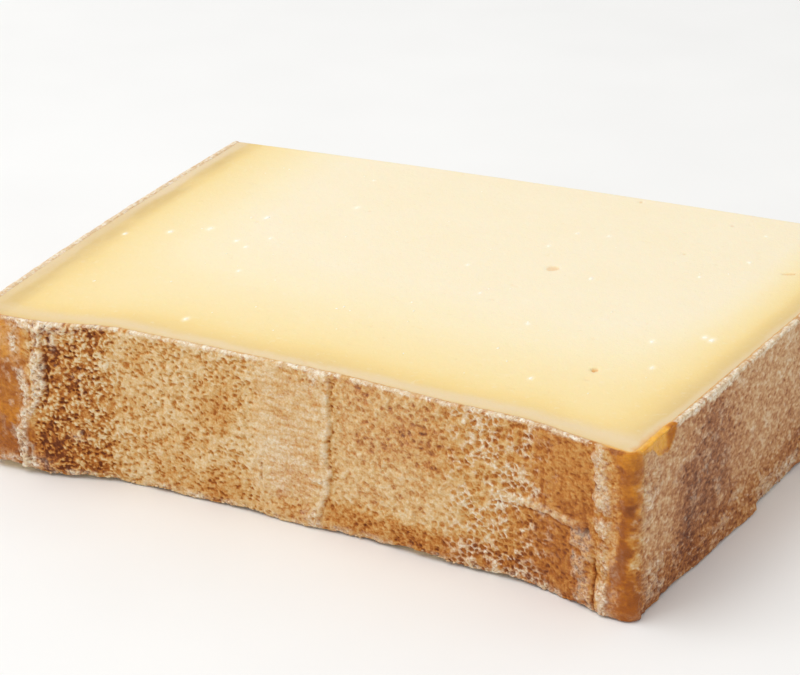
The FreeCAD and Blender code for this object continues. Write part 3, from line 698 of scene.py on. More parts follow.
def strip_uv(rows, lengths, faces):
    """Lay the swept faces out as long strips, one above the other."""
    columns = len(lengths)
    row_of = faces // columns
    column_of = faces % columns
    strip = np.minimum(column_of[:, :1].min(1) * UV_STRIPS // (columns - 1), UV_STRIPS - 1)
    span = lengths[-1] - lengths[0]
    across = (lengths[column_of] - lengths[0]) / span * UV_STRIPS - strip[:, None]
    row = np.where((row_of == 0) & (row_of.max(1) > 1)[:, None], rows, row_of)
    up = row / rows
    room = 0.93 / UV_STRIPS
    return np.stack([0.02 + 0.96 * across, 0.015 + strip[:, None] * room + up * (room - 0.02)], -1)


def rind_shell(name, start, end, step, material):
    """A thin shell of rind between two lengths of the outline."""
    lengths = np.linspace(start, end, int(round((end - start) / step)) + 1)
    low_edge = bottom_drop(lengths)
    count = int(round(TOP / step)) + 1
    share = np.linspace(0, 1, count)
    share = share - 0.10 * np.sin(2 * np.pi * share) / (2 * np.pi)
    drops = RIND_TOP + share[:, None] * (low_edge - RIND_TOP)
    grid = np.broadcast_to(lengths, drops.shape)
    relief, body, crust, wax, glow = rind_looks(grid, drops)
    ease = ramp(drops, 0.0, 1.6) * 0.75 + 0.25
    relief = relief * ease - 0.05

    # Rows of (lift, drop): the hidden inner side, then the torn rim up to the outer side.
    crest = Noise(51).rough(lengths, lengths * 0, 2.6, 4)
    rows = [(-SHELL, low_edge - 0.2), (-SHELL, np.full_like(lengths, 0.9))]
    white_to = 0.35 + 0.5 * Noise(53).rough(lengths, lengths * 0, 1.7, 3)
    shown = [np.zeros_like(lengths)] * 2
    for inward, fall in RIM_STEPS:
        ragged = 0.30 * np.clip(Noise(52).rough(lengths, lengths * 0 + inward, 2.0, 4) - 0.3, 0, 1)
        rows.append((relief[0] - inward + 0.2 * (crest - 0.5), fall + ragged * (1.6 - inward)))
        shown.append(ramp(white_to + 0.2 - inward, -0.2, 0.2))
    rows += zip(relief, drops)
    rows += [(relief[-1] - 0.35, low_edge + 0.12), (-UNDERCUT, low_edge - 0.1)]
    points = [OUTLINE.place(lengths, drop, lift) + (drop,) for lift, drop in rows]

    amber = band(lengths, OUTLINE.right_corner - 6.5, OUTLINE.right_corner + 15.0, 1.5)
    amber = amber + 0.8 * band(lengths, OUTLINE.left_corner - 3, OUTLINE.left_corner + 7.0, 2.0)
    beige = ramp(lengths, OUTLINE.left_corner - 3, OUTLINE.left_corner - 10)

    def spread(values, inner):
        """A look for every row, with the hidden rows at the inner value."""
        top = [values[0] * outer + inner * (1 - outer) for outer in shown]
        return np.concatenate([np.array(top), values, values[-1:], values[-1:]])

    count = len(points)
    columns = len(lengths)
    places = np.array([to_frame(along, deep, drop) for along, deep, drop in points])
    faces = quads(count, columns, closed=True)
    uv = strip_uv(count, lengths, faces).reshape(-1, 2)
    ring = np.arange(count) * columns
    caps = [ring[::-1], ring + columns - 1]
    turn = np.linspace(0, 2 * np.pi, count, endpoint=False)
    for index in range(2):
        centre = np.array([0.1 + 0.2 * index, 0.97])
        uv = np.concatenate([uv, centre + 0.012 * np.stack([np.cos(turn), np.sin(turn)], 1)])
    _, deep, tangent = OUTLINE.at(grid)
    dull = ramp(np.maximum(deep, 0), 1.0, 5.0) * on_face(tangent)
    dull = dull * (1 - 0.5 * ramp(drops, 20.0, 30.0))
    fields = {"body": spread(body, 0.72 + 0.14 * amber + 0.16 * beige),
              "crust": spread(crust, 0.1 + 0.75 * beige),
              "wax": spread(wax, 0.9), "glow": spread(glow, 0.35 + 0.6 * amber - 0.3 * beige),
              "dull": spread(dull, 0.0)}
    make_piece(name, places.reshape(-1, 3), list(faces) + caps, fields, material, uv)


# ---------------------------------------------------------------- the paste

# Crystals (along, deep, radius), eyes and pinholes (along, deep, radius, depth), pits of the back
# cut (along, drop, along radius, drop radius, strength) and the slit (along, deep, half, width).
CRYSTALS = (
    (-49.8, 58.0, 0.8), (-42.4, 68.8, 0.7), (-41.5, 54.7, 0.6), (-56.3, 52.8, 0.7),
    (-64.0, 47.7, 0.6), (-38.2, 52.7, 0.5), (-28.3, 82.5, 0.7), (-29.9, 15.8, 0.7),
    (6.2, 64.4, 0.5), (61.1, 52.2, 0.7), (62.7, 51.5, 0.8), (53.0, 45.9, 0.6), (57.3, 35.1, 0.6),
    (-36.0, 59.0, 0.5), (-33.0, 41.0, 0.5), (19.0, 90.0, 0.5), (16.6, 81.0, 0.5),
    (31.0, 69.0, 0.5), (14.5, 52.5, 0.4), (29.0, 43.0, 0.5), (39.5, 21.0, 0.5),
    (25.5, 91.5, 0.5), (56.0, 91.0, 0.5), (54.3, 106.0, 0.4), (-32.8, 98.8, 0.4),
    (49.8, 79.4, 0.4),
)
EYES = ((22.1, 70.5, 1.35, 0.26), (48.4, 29.6, 0.62, 0.8))
PINHOLES = ((23.9, 113.0, 0.4, 0.35), (46.1, 108.6, 0.4, 0.35), (42.6, 89.5, 0.35, 0.3))
BACK_PITS = ((-41.0, 12.0, 1.1, 0.9, 1.0), (9.0, 21.5, 1.6, 0.7, 1.0), (31.5, 8.0, 0.9, 0.8, 1.0),
             (52.0, 24.0, 1.3, 0.8, 0.9), (-16.0, 26.5, 0.9, 0.9, 0.8))
SLIT = (65.1, 88.9, 1.3, 0.36)
SLIT_TURN = math.radians(27.0)
PASTE_STEP = 0.5
BACK_INSET = 0.45   # the cut face stops this far before the back cut
WALL_ROWS = 44
WALL_FOOT = 1.6     # the hidden walls stop this far above the slab's underside
FLOOR_ROOM = 0.08   # and the paste's underside lies this far above the CAD's


def gather(along, deep, centre_along, centre_deep, reach):
    """Draw the grid's points together round a place, so that a small hole has enough of them."""
    off_x = along - centre_along
    off_y = deep - centre_deep
    distance = np.hypot(off_x, off_y) / reach
    inside = np.clip(distance, 1e-6, 1.0)
    pull = np.where(distance < 1, inside ** 0.6, 1.0)
    return centre_along + off_x * pull, centre_deep + off_y * pull


def paste_grid():
    """(along, deep) of the cut face, row by row from the heel to the back."""
    columns = int(round((2 * HALF_HEEL + 6) / PASTE_STEP)) + 1
    rows = int(round(LEFT_DEPTH / PASTE_STEP)) + 1
    t, s = np.meshgrid(np.linspace(0, 1, rows), np.linspace(0, 1, columns), indexing="ij")
    deep = 5 + t * 105
    for _ in range(8):
        left = left_face(deep) + PASTE_INSET
        dip = CHIP_ROOM * spot(deep, 0, CHIP_PLACE, 0, 7.5, 1)
        along = left + s * (right_face(deep) - PASTE_INSET - dip - left)
        front = heel_depth(along) + PASTE_INSET
        deep = front + t * (back_cut(along) - BACK_INSET - front)
    for side in (-1, 1):
        near = spot(along, deep, side * HALF_HEEL, 0.0, 2.6, 2.6)
        along = along - side * 0.65 * near
        deep = deep + 0.65 * near
    for centre_along, centre_deep, radius, _ in EYES:
        along, deep = gather(along, deep, centre_along, centre_deep, 4.5 * radius)
    along, deep = gather(along, deep, SLIT[0], SLIT[1], 3.0)
    return along, deep


def hollow(along, deep):
    """How far the cut face drops into its eyes, its slit and its pinholes."""
    wander = Noise(61)
    total = np.zeros_like(along)
    for centre_along, centre_deep, radius, depth in EYES + PINHOLES:
        off_x = along - centre_along
        off_y = deep - centre_deep
        turn = np.arctan2(off_y, off_x)
        wavy = radius * (1 + 0.10 * np.sin(2 * turn + radius * 9) + 0.06 * np.sin(3 * turn + 1))
        total += depth * ramp(np.hypot(off_x, off_y), wavy * 1.12, wavy * 0.70)
    centre_along, centre_deep, half, width = SLIT
    off_x = along - centre_along
    off_y = deep - centre_deep
    lengthwise = off_x * math.cos(SLIT_TURN) + off_y * math.sin(SLIT_TURN)
    across = off_y * math.cos(SLIT_TURN) - off_x * math.sin(SLIT_TURN)
    half_width = width * np.clip(1 - (lengthwise / half) ** 2, 0, 1) ** 0.7
    gap = ramp(np.abs(across), half_width + 0.12, half_width * 0.4)
    total += 0.4 * gap * (half_width > 0.02)
    total += 0.10 * ramp(wander.rough(along, deep, 1.4, 2), 0.83, 0.9)
    return total


def paste_edges(along, deep):
    """Distances in from the heel and from the two flat faces."""
    from_heel = deep - heel_depth(along)
    from_left = along - left_face(deep)
    from_right = right_face(deep) - along
    return from_heel, from_left, from_right


# The greyish layer behind the heel: its middle and half width, in from the heel.
GREY_PLACES = (-68.0, -55.0, -30.0, 0.0, 30.0, 50.0, 62.0)
GREY_MIDDLES = (4.5, 4.0, 2.6, 1.9, 2.9, 3.4, 4.5)
GREY_HALVES = (2.5, 2.2, 1.8, 1.5, 2.2, 2.4, 3.2)


def paste_tones(along, deep):
    """Depth under the rind, and how greyish, how dull at the sides and how amber the face is."""
    from_heel, from_left, from_right = (np.maximum(d, 0.2) for d in paste_edges(along, deep))
    in_left = from_left + 0.02 * from_left ** 2 * ramp(deep, 30.0, 50.0)
    in_right = from_right + 0.0028 * np.clip(deep - 22.0, 0, 40) * from_right ** 2
    inward = (from_heel ** -3.0 + in_left ** -3.0 + in_right ** -3.0) ** (-1 / 3)
    soft = Noise(72).rough(along, deep, 9.0, 3) - 0.5
    inward = np.clip(inward + 2.2 * soft * ramp(inward, 0, 6), 0, None)
    drawn = Noise(73)
    across = 1.2 * (drawn.rough(along, deep, 5.0, 3, 1.6) - 0.5)
    down = 1.4 * (drawn.rough(along + 40, deep, 1.4, 3, 6.0) - 0.5)
    middle = np.interp(along, GREY_PLACES, GREY_MIDDLES)
    half = np.interp(along, GREY_PLACES, GREY_HALVES)
    layer = np.interp(along, (-68.0, -50.0, -20.0), (0.45, 0.6, 0.85))
    pale_heel = layer * ramp(np.abs(from_heel + across + 0.6 * down - middle) / half, 1.5, 0.0)
    strength = np.interp(deep, (0.0, 30.0, 50.0, 75.0, 107.0), (0.4, 0.7, 0.5, 1.1, 0.9))
    pale_left = strength * ramp(np.abs(from_left + down - 1.8), 2.6, 0.8)
    off_middle = from_right + 0.8 * down - 1.1 - 1.3 * ramp(deep, 25, 10)
    pale_right = 0.7 * ramp(np.abs(off_middle), 1.7, 0.4)
    pale = np.maximum(pale_heel, np.maximum(pale_left, pale_right))
    mottle = 0.5 + ramp(drawn.rough(along + 20, deep, 4.0, 3, 9.0), 0.30, 0.70)
    side = np.maximum(mottle * band(from_left + down, 1.0, 6.5, 2.2),
                      0.7 * band(from_right, 1.0, 4.5, 1.8))
    ragged = 1.2 * (drawn.rough(along, deep + 70, 0.9, 2) - 0.5)
    amber = ramp(from_heel + ragged, 1.9, 0.6) * (
        ramp(along, 59.0, 64.0) + 0.6 * ramp(along, -60, -64))
    amber = np.maximum(amber, ramp(from_right + ragged, 2.9, 1.0) * band(deep, -2.0, 14.5, 1.5))
    return inward, pale, side, amber


def back_wall(along, deep, top_drop):
    """The back cut under the last row of the cut face: (along, deep, drop) and its pits."""
    fall = np.concatenate([[0.10, 0.28, 0.5], np.linspace(1.0, TOP - 1.0, WALL_ROWS - 6),
                           [TOP - 0.5, TOP - 0.25, TOP - FLOOR_ROOM]])
    out = BACK_INSET - 0.10 - 0.35 * np.clip(1 - fall / 0.5, 0, 1) ** 2
    out -= 0.3 * np.clip(1 - (TOP - fall) / 0.5, 0, 1) ** 2
    shape = (WALL_ROWS, len(along))
    along = np.broadcast_to(along, shape)
    fall = np.broadcast_to(fall[:, None], shape)
    buried = ramp(fall, 0.3, 2.0)
    deep = deep + out[:, None]
    deep = deep - 0.12 * Noise(71).rough(along, fall + 50, 5.0, 4) * buried
    pits = spots(along + 0.3 * (fall - 15), fall, BACK_PITS)
    deep = deep - 0.35 * np.clip(pits, 0, 1)
    knife = Noise(75).rough(along * 0 + 3, fall + 0.06 * along, 1.2, 3)
    deep = deep - 0.05 * knife * buried
    return along, deep, np.maximum(fall, top_drop + 0.05), fall, pits


def cheese_paste(material):
    """The paste: its cut top face, the back cut and plain hidden walls behind the rind."""
    along, deep = paste_grid()
    rows, columns = along.shape
    wave = Noise(71)
    drop = PASTE_SINK + 0.10 * (wave.rough(along, deep, 14.0, 3) - 0.5)
    drop += 0.05 * (wave.rough(along + 31, deep, 1.8, 2) - 0.5)
    drop += 0.16 * ramp(np.minimum.reduce(paste_edges(along, deep)), 2.6, 0.6)
    sunk = hollow(along, deep)
    drop = np.maximum(drop, 0.02) + sunk
    top = to_frame(along, deep, drop).reshape(-1, 3)
    wall_along, wall_deep, wall_drop, fall, pits = back_wall(along[-1], deep[-1], drop[-1])
    wall = to_frame(wall_along, wall_deep, wall_drop).reshape(-1, 3)

    low_drop = TOP - WALL_FOOT
    back_by = heel_fall(deep, TOP)
    low_front = to_frame(along[0], deep[0] + back_by[0], low_drop)
    low_deep = deep + back_by * ramp(deep, 20.0, 3.0)
    low_left, low_right = (to_frame(along[1:-1, side], low_deep[1:-1, side], low_drop)
                           for side in (0, -1))
    points = np.concatenate([top, wall, low_front, low_left, low_right])
    wall_first = rows * columns
    front_first = wall_first + WALL_ROWS * columns
    left_first = front_first + columns
    right_first = left_first + rows - 2

    def hang(upper, lower):
        """Faces between a row of upper points and the row below it."""
        return np.stack([upper[:-1], lower[:-1], lower[1:], upper[1:]], 1)

    top_faces = quads(rows, columns)[:, ::-1]
    join = np.concatenate([(rows - 1) * columns + np.arange(columns),
                           wall_first + np.arange(WALL_ROWS * columns)])
    wall_faces = join[quads(WALL_ROWS + 1, columns)[:, ::-1]]
    front_low = front_first + np.arange(columns)
    left_top = np.arange(rows - 1) * columns
    left_low = np.concatenate([front_low[:1], left_first + np.arange(rows - 2)])
    right_top = left_top + columns - 1
    right_low = np.concatenate([front_low[-1:], right_first + np.arange(rows - 2)])
    side_faces = [hang(np.arange(columns), front_low), hang(left_top, left_low)[:, ::-1],
                  hang(right_top, right_low)]
    wall_left = wall_first + np.arange(WALL_ROWS) * columns
    wall_right = wall_left + columns - 1
    ends = [np.concatenate([[left_top[-1], left_low[-1]], wall_left[::-1],
                            [(rows - 1) * columns]]),
            np.concatenate([[right_low[-1], right_top[-1], rows * columns - 1], wall_right])]
    edge = np.concatenate([front_low, right_low[1:], wall_right[-1] - np.arange(columns),
                           left_low[:0:-1]])
    middle = np.array([MIDDLE_X, HEEL_Y + LEFT_DEPTH / 2, 0.0]) * MM
    inner_points = middle + (points[edge] - middle) * (0.965, 0.955, 0.0)
    inner_points[:, 2] = (LOW[2] + FLOOR_ROOM) * MM
    back = slice(columns + rows - 2, 2 * columns + rows - 2)
    inner_points[back, 1] = points[edge[back], 1] - 0.4 * MM
    inner = len(points) + np.arange(len(edge))
    points = np.concatenate([points, inner_points])
    low_faces = np.stack([edge, np.roll(edge, -1), np.roll(inner, -1), inner], 1)
    faces = [*top_faces, *wall_faces, *np.concatenate(side_faces), *ends, *low_faces, inner]

    plan = (points / MM - LOW) / (HIGH - LOW)

    def sheet(group, across, up, low, height):
        """The UVs of a group of faces, laid flat on two of the box's axes."""
        flat = np.stack([0.01 + 0.98 * plan[:, across], low + height * plan[:, up]], 1)
        return flat[group].reshape(-1, 2)

    uv = [sheet(top_faces, 0, 1, 0.01, 0.65), sheet(wall_faces, 0, 2, 0.68, 0.11)]
    out_of_sight = [corners[:, ::-1] for corners in side_faces] + ends
    uv += [sheet(group, 1, 2, 0.97, 0.005) for group in out_of_sight]
    uv += [sheet(low_faces, 0, 1, 0.81, 0.15), sheet(inner, 0, 1, 0.81, 0.15)]

    def field(top_values, wall_values=0.0, hidden=0.0):
        """A look for every point: the cut face, the back cut and what lies hidden."""
        wall_values = np.broadcast_to(wall_values, wall_along.shape)
        rest = np.full(len(points) - top_values.size - wall_values.size, hidden)
        return np.concatenate([top_values.reshape(-1), wall_values.reshape(-1), rest])

    inward, pale, side, amber = paste_tones(along, deep)
    wall_edge = np.minimum(wall_along - left_face(wall_deep), right_face(wall_deep) - wall_along)
    near, _, number = Noise(76).cells(wall_along, fall, 5.5, 5.0, 0.95)
    wall_flecks = 0.6 * ramp(near, 0.13, 0.06) * ramp(number, 0.84, 0.88)
    flecks = sum(spot(along, deep, x, y, 0.75 * size, 1.35 * size) for x, y, size in CRYSTALS)
    fields = {"inward": field(inward, 0.9 * wall_edge, 6.0),
              "fleck": field(np.clip(flecks, 0, 1), wall_flecks), "side": field(side),
              "pale": field(pale), "amber": field(amber), "sunk": field(sunk, 0.3 * pits)}
    piece = make_piece("cheese_paste", points, faces, fields, material, np.concatenate(uv))
    for polygon in piece.data.polygons[len(top_faces) + len(wall_faces):]:
        polygon.use_smooth = False
    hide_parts(NODE)


# ---------------------------------------------------------------- crystals and crumbs

CRYSTAL_COUNT = 46
CRUMB_TRIES = 230


def lump_mesh(rng, centre, radii, rings, sides, rough):
    """Points and faces of a small closed lump, in the frame's axes and millimetres."""
    polar = np.linspace(0, math.pi, rings + 1)[1:-1]
    turn = np.linspace(0, 2 * math.pi, sides, endpoint=False)
    polar, turn = np.meshgrid(polar, turn, indexing="ij")
    grow = 1 + rough * (rng.random(polar.shape) - 0.5)
    ball = np.stack([np.sin(polar) * np.cos(turn), np.sin(polar) * np.sin(turn),
                     np.cos(polar)], -1) * grow[..., None]
    points = np.concatenate([ball.reshape(-1, 3), [[0, 0, 1.0], [0, 0, -1.0]]])
    points = np.asarray(centre) + points * np.asarray(radii)
    after = [(k + 1) % sides for k in range(sides)]
    faces = [[ring + k, ring + sides + k, ring + sides + after[k], ring + after[k]]
             for ring in range(0, (rings - 2) * sides, sides) for k in range(sides)]
    crown = len(points) - 2
    last = (rings - 2) * sides
    for k in range(sides):
        faces += [[crown, k, after[k]], [crown + 1, last + after[k], last + k]]
    return points, faces


def join_lumps(name, lumps, material):
    """One mesh of many small lumps."""
    points = []
    faces = []
    count = 0
    for lump_points, lump_faces in lumps:
        points.append(lump_points)
        faces += [[index + count for index in face] for face in lump_faces]
        count += len(lump_points)
    places = np.clip(np.concatenate(points), LOW, HIGH) * MM
    make_piece(name, places, faces, {}, material)


def crystals(material):
    """White tyrosine crystals that lie in the cut face."""
    rng = np.random.default_rng(81)
    rows = list(CRYSTALS)
    for _ in range(CRYSTAL_COUNT):
        along = rng.uniform(-58, 62)
        deep = rng.uniform(16, 104)
        rows.append((along, deep, rng.uniform(0.16, 0.34)))
    lumps = []
    for along, deep, radius in rows:
        centre = (MIDDLE_X + along, HEEL_Y + deep, TOP - PASTE_SINK - 0.05)
        radii = (radius * rng.uniform(0.45, 0.8), radius * rng.uniform(0.8, 1.4), 0.12)
        lumps.append(lump_mesh(rng, centre, radii, 6, 14, 0.5))
    join_lumps("crystals", lumps, material)


def crumbs(material):
    """Crumbs and torn flakes of cut rind along the heel's upper and lower edges."""
    rng = np.random.default_rng(91)
    lumps = []
    start = OUTLINE.left_corner + 1
    end = OUTLINE.right_corner + 68
    for _ in range(CRUMB_TRIES):
        length = np.array(rng.uniform(start, end))
        if 0 < length - OUTLINE.right_corner < 18:
            continue
        upper = rng.random() < 0.55
        low = float(bottom_drop(length[None])[0])
        drop = np.array(rng.uniform(0.15, 0.6) if upper else low - rng.uniform(0.1, 0.8))
        lift = np.array(rng.uniform(-0.9, -0.1) if upper else rng.uniform(-0.5, -0.1))
        along, deep = OUTLINE.place(length, drop, lift)
        size = rng.uniform(0.10, 0.26)
        centre = (MIDDLE_X + along, HEEL_Y + deep, TOP - drop)
        radii = (size * rng.uniform(1.0, 2.2), size * rng.uniform(0.8, 1.6), size * 0.7)
        lumps.append(lump_mesh(rng, centre, radii, 5, 9, 0.6))
    join_lumps("crumbs", lumps, material)


# ---------------------------------------------------------------- materials

PASTE_LIGHT = 0.905
RIND_LIGHT = 0.93
WIDE = (1.0, 0.6, 1.0)


def colour(red, green, blue, scale=1.0):
    """Linear colour of a screen colour from 0 to 255, made lighter or darker by scale."""
    linear = []
    for value in (red, green, blue):
        value /= 255
        value = value / 12.92 if value <= 0.04045 else ((value + 0.055) / 1.055) ** 2.4
        linear.append(min(value * scale, 1.0))
    return (*linear, 1.0)


class Nodes:
    """Short names for building a node material."""

    def __init__(self, name):
        self.material = bpy.data.materials.new(name)
        self.material.use_nodes = True
        self.tree = self.material.node_tree
        self.shader = next(n for n in self.tree.nodes if n.type == "BSDF_PRINCIPLED")
        coordinates = self.tree.nodes.new("ShaderNodeTexCoord")
        self.place = coordinates.outputs["Object"]

    def link(self, source, target):
        """Join two sockets, or set the target to a plain value."""
        if isinstance(source, (int, float, tuple)):
            target.default_value = source
        else:
            self.tree.links.new(source, target)

    def field(self, name):
        """A mesh's float attribute."""
        node = self.tree.nodes.new("ShaderNodeAttribute")
        node.attribute_name = name
        return node.outputs["Fac"]

    def noise(self, size, detail, roughness=0.55, stretch=(1, 1, 1)):
        """Noise whose lumps are about size millimetres across, from 0 to 1."""
        scale = self.tree.nodes.new("ShaderNodeMapping")
        scale.inputs["Scale"].default_value = stretch
        self.link(self.place, scale.inputs["Vector"])
        node = self.tree.nodes.new("ShaderNodeTexNoise")
        self.link(scale.outputs["Vector"], node.inputs["Vector"])
        node.inputs["Scale"].default_value = 1 / (size * MM)
        node.inputs["Detail"].default_value = detail
        node.inputs["Roughness"].default_value = roughness
        return node.outputs["Fac"]

    def spread(self, source, low, high, to_low=0.0, to_high=1.0):
        """Stretch the range from low to high over another one, and hold the ends."""
        node = self.tree.nodes.new("ShaderNodeMapRange")
        self.link(source, node.inputs["Value"])
        for key, value in (("From Min", low), ("From Max", high), ("To Min", to_low),
                           ("To Max", to_high)):
            node.inputs[key].default_value = value
        return node.outputs["Result"]

    def math(self, kind, first, second):
        """A sum, a difference or a product."""
        node = self.tree.nodes.new("ShaderNodeMath")
        node.operation = kind
        self.link(first, node.inputs[0])
        self.link(second, node.inputs[1])
        return node.outputs["Value"]

    def shades(self, source, light, rows, reach=1.0):
        """A run of screen colours over the source, each (place, red, green, blue)."""
        stops = [(place / reach, colour(*shade, light)) for place, *shade in rows]
        node = self.tree.nodes.new("ShaderNodeValToRGB")
        elements = node.color_ramp.elements
        while len(elements) < len(stops):
            elements.new(0.5)
        for element, (position, shade) in zip(elements, stops):
            element.position = position
            element.color = shade
        self.link(source, node.inputs["Fac"])
        return node.outputs["Color"]

    def mix(self, factor, first, second):
        """The first colour where the factor is 0 and the second where it is 1."""
        node = self.tree.nodes.new("ShaderNodeMix")
        node.data_type = "RGBA"
        self.link(factor, node.inputs["Factor"])
        self.link(first, node.inputs[6])
        self.link(second, node.inputs[7])
        return node.outputs[2]

    def tint(self, base, factor, share, shade):
        """Mix a colour in by a share of the factor."""
        return self.mix(self.math("MULTIPLY", factor, share), base, shade)

    def translucent(self, weight, radius, scale):
        """Let light run on under the surface; scale is in millimetres."""
        for key, value in (("Weight", weight), ("Radius", radius), ("Scale", scale * MM)):
            self.shader.inputs["Subsurface " + key].default_value = value

    def finish(self, base, roughness, bump, depth, strength):
        """Link everything to the shader; depth is the bump's, in millimetres."""
        self.link(base, self.shader.inputs["Base Color"])
        self.link(roughness, self.shader.inputs["Roughness"])
        node = self.tree.nodes.new("ShaderNodeBump")
        node.inputs["Strength"].default_value = strength
        node.inputs["Distance"].default_value = depth * MM
        self.link(bump, node.inputs["Height"])
        self.link(node.outputs["Normal"], self.shader.inputs["Normal"])
        return self.material


def paste_material():
    """Pale straw paste, deeper yellow towards the rind and greyish beige right at it."""
    n = Nodes("paste")
    reach = 46.0
    base = n.shades(n.spread(n.field("inward"), 0.0, reach), PASTE_LIGHT, (
        (0.0, 226, 188, 122), (2.0, 230, 198, 132), (4.0, 236, 205, 136), (6.0, 242, 211, 138),
        (8.0, 247, 217, 144), (10.0, 249, 222, 154), (12.0, 250, 225, 161), (15.0, 251, 228, 168),
        (20.0, 252, 231, 177), (31.0, 253, 237, 194), (45.0, 253, 239, 206)), reach)
    for size, detail, roughness, low, high, share, shade in (
            (16.0, 3.0, 0.55, 0.35, 0.68, 0.12, (250, 228, 176)),
            (1.5, 3.0, 0.6, 0.60, 0.72, 0.16, (255, 247, 226)),
            (0.9, 2.0, 0.5, 0.66, 0.74, 0.14, (226, 190, 120))):
        cloud = n.spread(n.noise(size, detail, roughness), low, high)
        base = n.tint(base, cloud, share, colour(*shade, PASTE_LIGHT))
    for name, share, shade in (("side", 0.45, (216, 184, 118)), ("pale", 0.8, (237, 214, 176)),
                               ("amber", 0.9, (234, 168, 82))):
        base = n.tint(base, n.field(name), share, colour(*shade, PASTE_LIGHT))
    base = n.tint(base, n.field("fleck"), 0.85, colour(255, 250, 232))
    # Orange-brown by how deep the eyes, the slit, the pinholes and the back pits sink: painted
    # shade in the hollows.
    base = n.mix(n.spread(n.field("sunk"), 0.04, 0.45, 0.0, 0.8), base, colour(226, 170, 98))
    rough = n.spread(n.noise(2.2, 3.0), 0.3, 0.7, 0.42, 0.58)
    bump = n.math("ADD", n.noise(0.7, 4.0, 0.6), n.math("MULTIPLY", n.noise(3.0, 3.0), 1.2))
    n.translucent(0.12, (1.0, 0.62, 0.30), 2.0)
    return n.finish(base, rough, bump, 0.10, 0.7)


def rind_material():
    """Brown to straw rind with clear orange corners and whitish crust."""
    n = Nodes("rind")
    fine = n.spread(n.noise(0.42, 3.0, 0.6, WIDE), 0.32, 0.68, -0.13, 0.13)
    grain = n.spread(n.noise(0.95, 2.0, 0.55, WIDE), 0.36, 0.64, -0.09, 0.09)
    grainy = n.spread(n.field("wax"), 0.0, 1.0, 1.0, 0.35)
    body = n.math("ADD", n.field("body"), n.math("MULTIPLY", n.math("ADD", fine, grain), grainy))
    warm = n.shades(body, RIND_LIGHT, (
        (0.0, 116, 54, 10), (0.16, 156, 84, 20), (0.32, 186, 113, 40), (0.46, 204, 140, 68),
        (0.60, 214, 164, 96), (0.76, 225, 187, 130), (1.0, 238, 214, 174)))
    dull = n.shades(body, RIND_LIGHT, (
        (0.0, 96, 52, 30), (0.16, 134, 80, 46), (0.32, 166, 108, 66), (0.48, 190, 135, 88),
        (0.62, 206, 158, 110), (0.78, 220, 182, 138), (1.0, 232, 205, 168)))
    base = n.mix(n.field("dull"), warm, dull)
    clear = n.shades(body, RIND_LIGHT, (
        (0.0, 116, 54, 8), (0.25, 164, 90, 20), (0.50, 195, 125, 44), (0.80, 216, 158, 80),
        (1.0, 226, 182, 120)))
    base = n.tint(base, n.field("wax"), 0.85, clear)
    amber = n.shades(body, RIND_LIGHT, (
        (0.15, 166, 88, 0), (0.45, 212, 132, 4), (0.85, 252, 186, 56)))
    base = n.tint(base, n.field("glow"), 0.88, amber)
    white = n.shades(n.noise(0.8, 4.0, 0.6, WIDE), RIND_LIGHT, (
        (0.32, 212, 178, 136), (0.48, 233, 211, 178), (0.64, 250, 241, 222)))
    broken = n.spread(n.noise(0.42, 3.0, 0.55, WIDE), 0.38, 0.58, 0.35, 1.0)
    cover = n.math("MULTIPLY", n.field("crust"), broken)
    base = n.mix(n.spread(cover, 0.0, 1.0), base, white)
    rough = n.math("SUBTRACT", n.spread(n.noise(1.3, 3.0), 0.3, 0.7, 0.58, 0.74),
                   n.math("MULTIPLY", n.field("wax"), 0.26))
    bump = n.math("ADD", n.noise(0.35, 4.0, 0.65, WIDE),
                  n.math("MULTIPLY", n.noise(1.1, 4.0, 0.6, WIDE), 1.3))
    bump = n.math("MULTIPLY", bump, n.spread(n.field("dull"), 0.0, 1.0, 1.0, 0.35))
    n.shader.inputs["Specular IOR Level"].default_value = 0.3
    n.translucent(0.08, (1.0, 0.45, 0.18), 1.2)
    return n.finish(base, rough, bump, 0.22, 0.9)


def white_material(name, light, dark, size):
    """Chalky white of crystals, or the dull beige of crumbs."""
    n = Nodes(name)
    base = n.shades(n.noise(size, 3.0, 0.6), 1.0, ((0.35, *dark), (0.65, *light)))
    rough = n.spread(n.noise(0.8, 2.0), 0.3, 0.7, 0.6, 0.8)
    return n.finish(base, rough, n.noise(0.3, 3.0), 0.08, 0.6)


# ---------------------------------------------------------------- stage, light and camera

KEY_POWER = 9.4
FILL_POWER = 0.8
WORLD_LIGHT = 0.72
FLOOR_REACH = 3.0    # metres, as is the floor's gap under the slab
FLOOR_GAP = 0.0002


def stage():
    """A plain pale floor."""
    mesh = bpy.data.meshes.new("floor")
    corners = ((-1, -1), (1, -1), (1, 1), (-1, 1))
    mesh.from_pydata([(x * FLOOR_REACH, y * FLOOR_REACH, LOW[2] * MM - FLOOR_GAP)
                      for x, y in corners], [], [(0, 1, 2, 3)])
    n = Nodes("floor")
    base = n.shades(n.noise(60.0, 2.0), 1.0, ((0.3, 238, 238, 237), (0.7, 241, 241, 240)))
    n.finish(base, n.spread(n.noise(20.0, 2.0), 0.3, 0.7, 0.6, 0.7), n.noise(2.0, 2.0), 0.01, 0.1)
    mesh.materials.append(n.material)
    floor = bpy.data.objects.new("floor", mesh)
    bpy.context.collection.objects.link(floor)


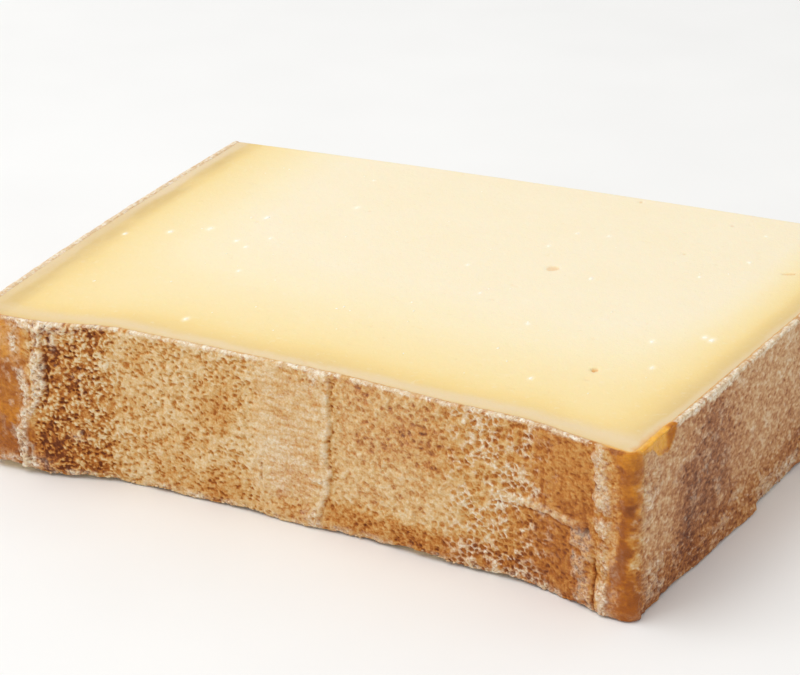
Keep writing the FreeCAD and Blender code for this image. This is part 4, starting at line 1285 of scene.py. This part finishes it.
def area_light(name, place, target, size, power):
    """A soft square light that looks at the target."""
    data = bpy.data.lights.new(name, "AREA")
    data.size = size
    data.energy = power
    light = bpy.data.objects.new(name, data)
    light.location = place
    light.rotation_euler = (Vector(target) - Vector(place)).to_track_quat("-Z", "Y").to_euler()
    bpy.context.collection.objects.link(light)


def lights():
    """A large soft key from the upper left, a weak fill from the front and a white surround."""
    middle = (0.0, 0.0, TOP * MM / 2)
    area_light("key", (-0.50, -0.42, 1.15), middle, 1.0, KEY_POWER)
    area_light("fill", (-0.15, -0.95, 0.22), middle, 0.6, FILL_POWER)
    world = bpy.data.worlds.new("surround")
    world.use_nodes = True
    background = world.node_tree.nodes["Background"]
    background.inputs["Color"].default_value = (1.0, 0.995, 0.985, 1.0)
    background.inputs["Strength"].default_value = WORLD_LIGHT
    scene = bpy.context.scene
    scene.world = world
    scene.view_settings.view_transform = "Standard"


# The camera's place from the heel's middle, its tilt and turn in degrees, and its lens.
CAMERA_ALONG = 203.35
CAMERA_BEFORE = 354.1
CAMERA_ABOVE = 189.81
CAMERA_PITCH = 24.0
CAMERA_TURN = 26.9
LENS = 112.5
SENSOR = 36.0


def camera():
    """The view from the front right, a little above."""
    data = bpy.data.cameras.new("view")
    data.lens = LENS
    data.sensor_width = SENSOR
    data.clip_end = 20.0
    view = bpy.data.objects.new("view", data)
    view.location = (np.array([MIDDLE_X + CAMERA_ALONG, HEEL_Y - CAMERA_BEFORE,
                               TOP + CAMERA_ABOVE]) * MM).tolist()
    view.rotation_euler = (math.radians(90 - CAMERA_PITCH), 0, math.radians(CAMERA_TURN))
    bpy.context.collection.objects.link(view)
    bpy.context.scene.camera = view


def main():
    """The paste, the rind from the back of one flat face to that of the other, and the stage."""
    rind = rind_material()
    cheese_paste(paste_material())
    left = OUTLINE.left_corner - PAST_CORNER
    right = OUTLINE.right_corner + PAST_CORNER
    for name, start, end, step in (("rind_left", 0.0, left, LEFT_MESH),
                                   ("rind_heel", left, right, HEEL_MESH),
                                   ("rind_right", right, OUTLINE.length[-1], RIGHT_MESH)):
        rind_shell(name, start, end, step, rind)
    crystals(white_material("crystal", (255, 252, 240), (250, 240, 214), 0.6))
    crumbs(white_material("crumb", (236, 212, 174), (196, 152, 104), 0.7))
    stage()
    lights()
    camera()


main()
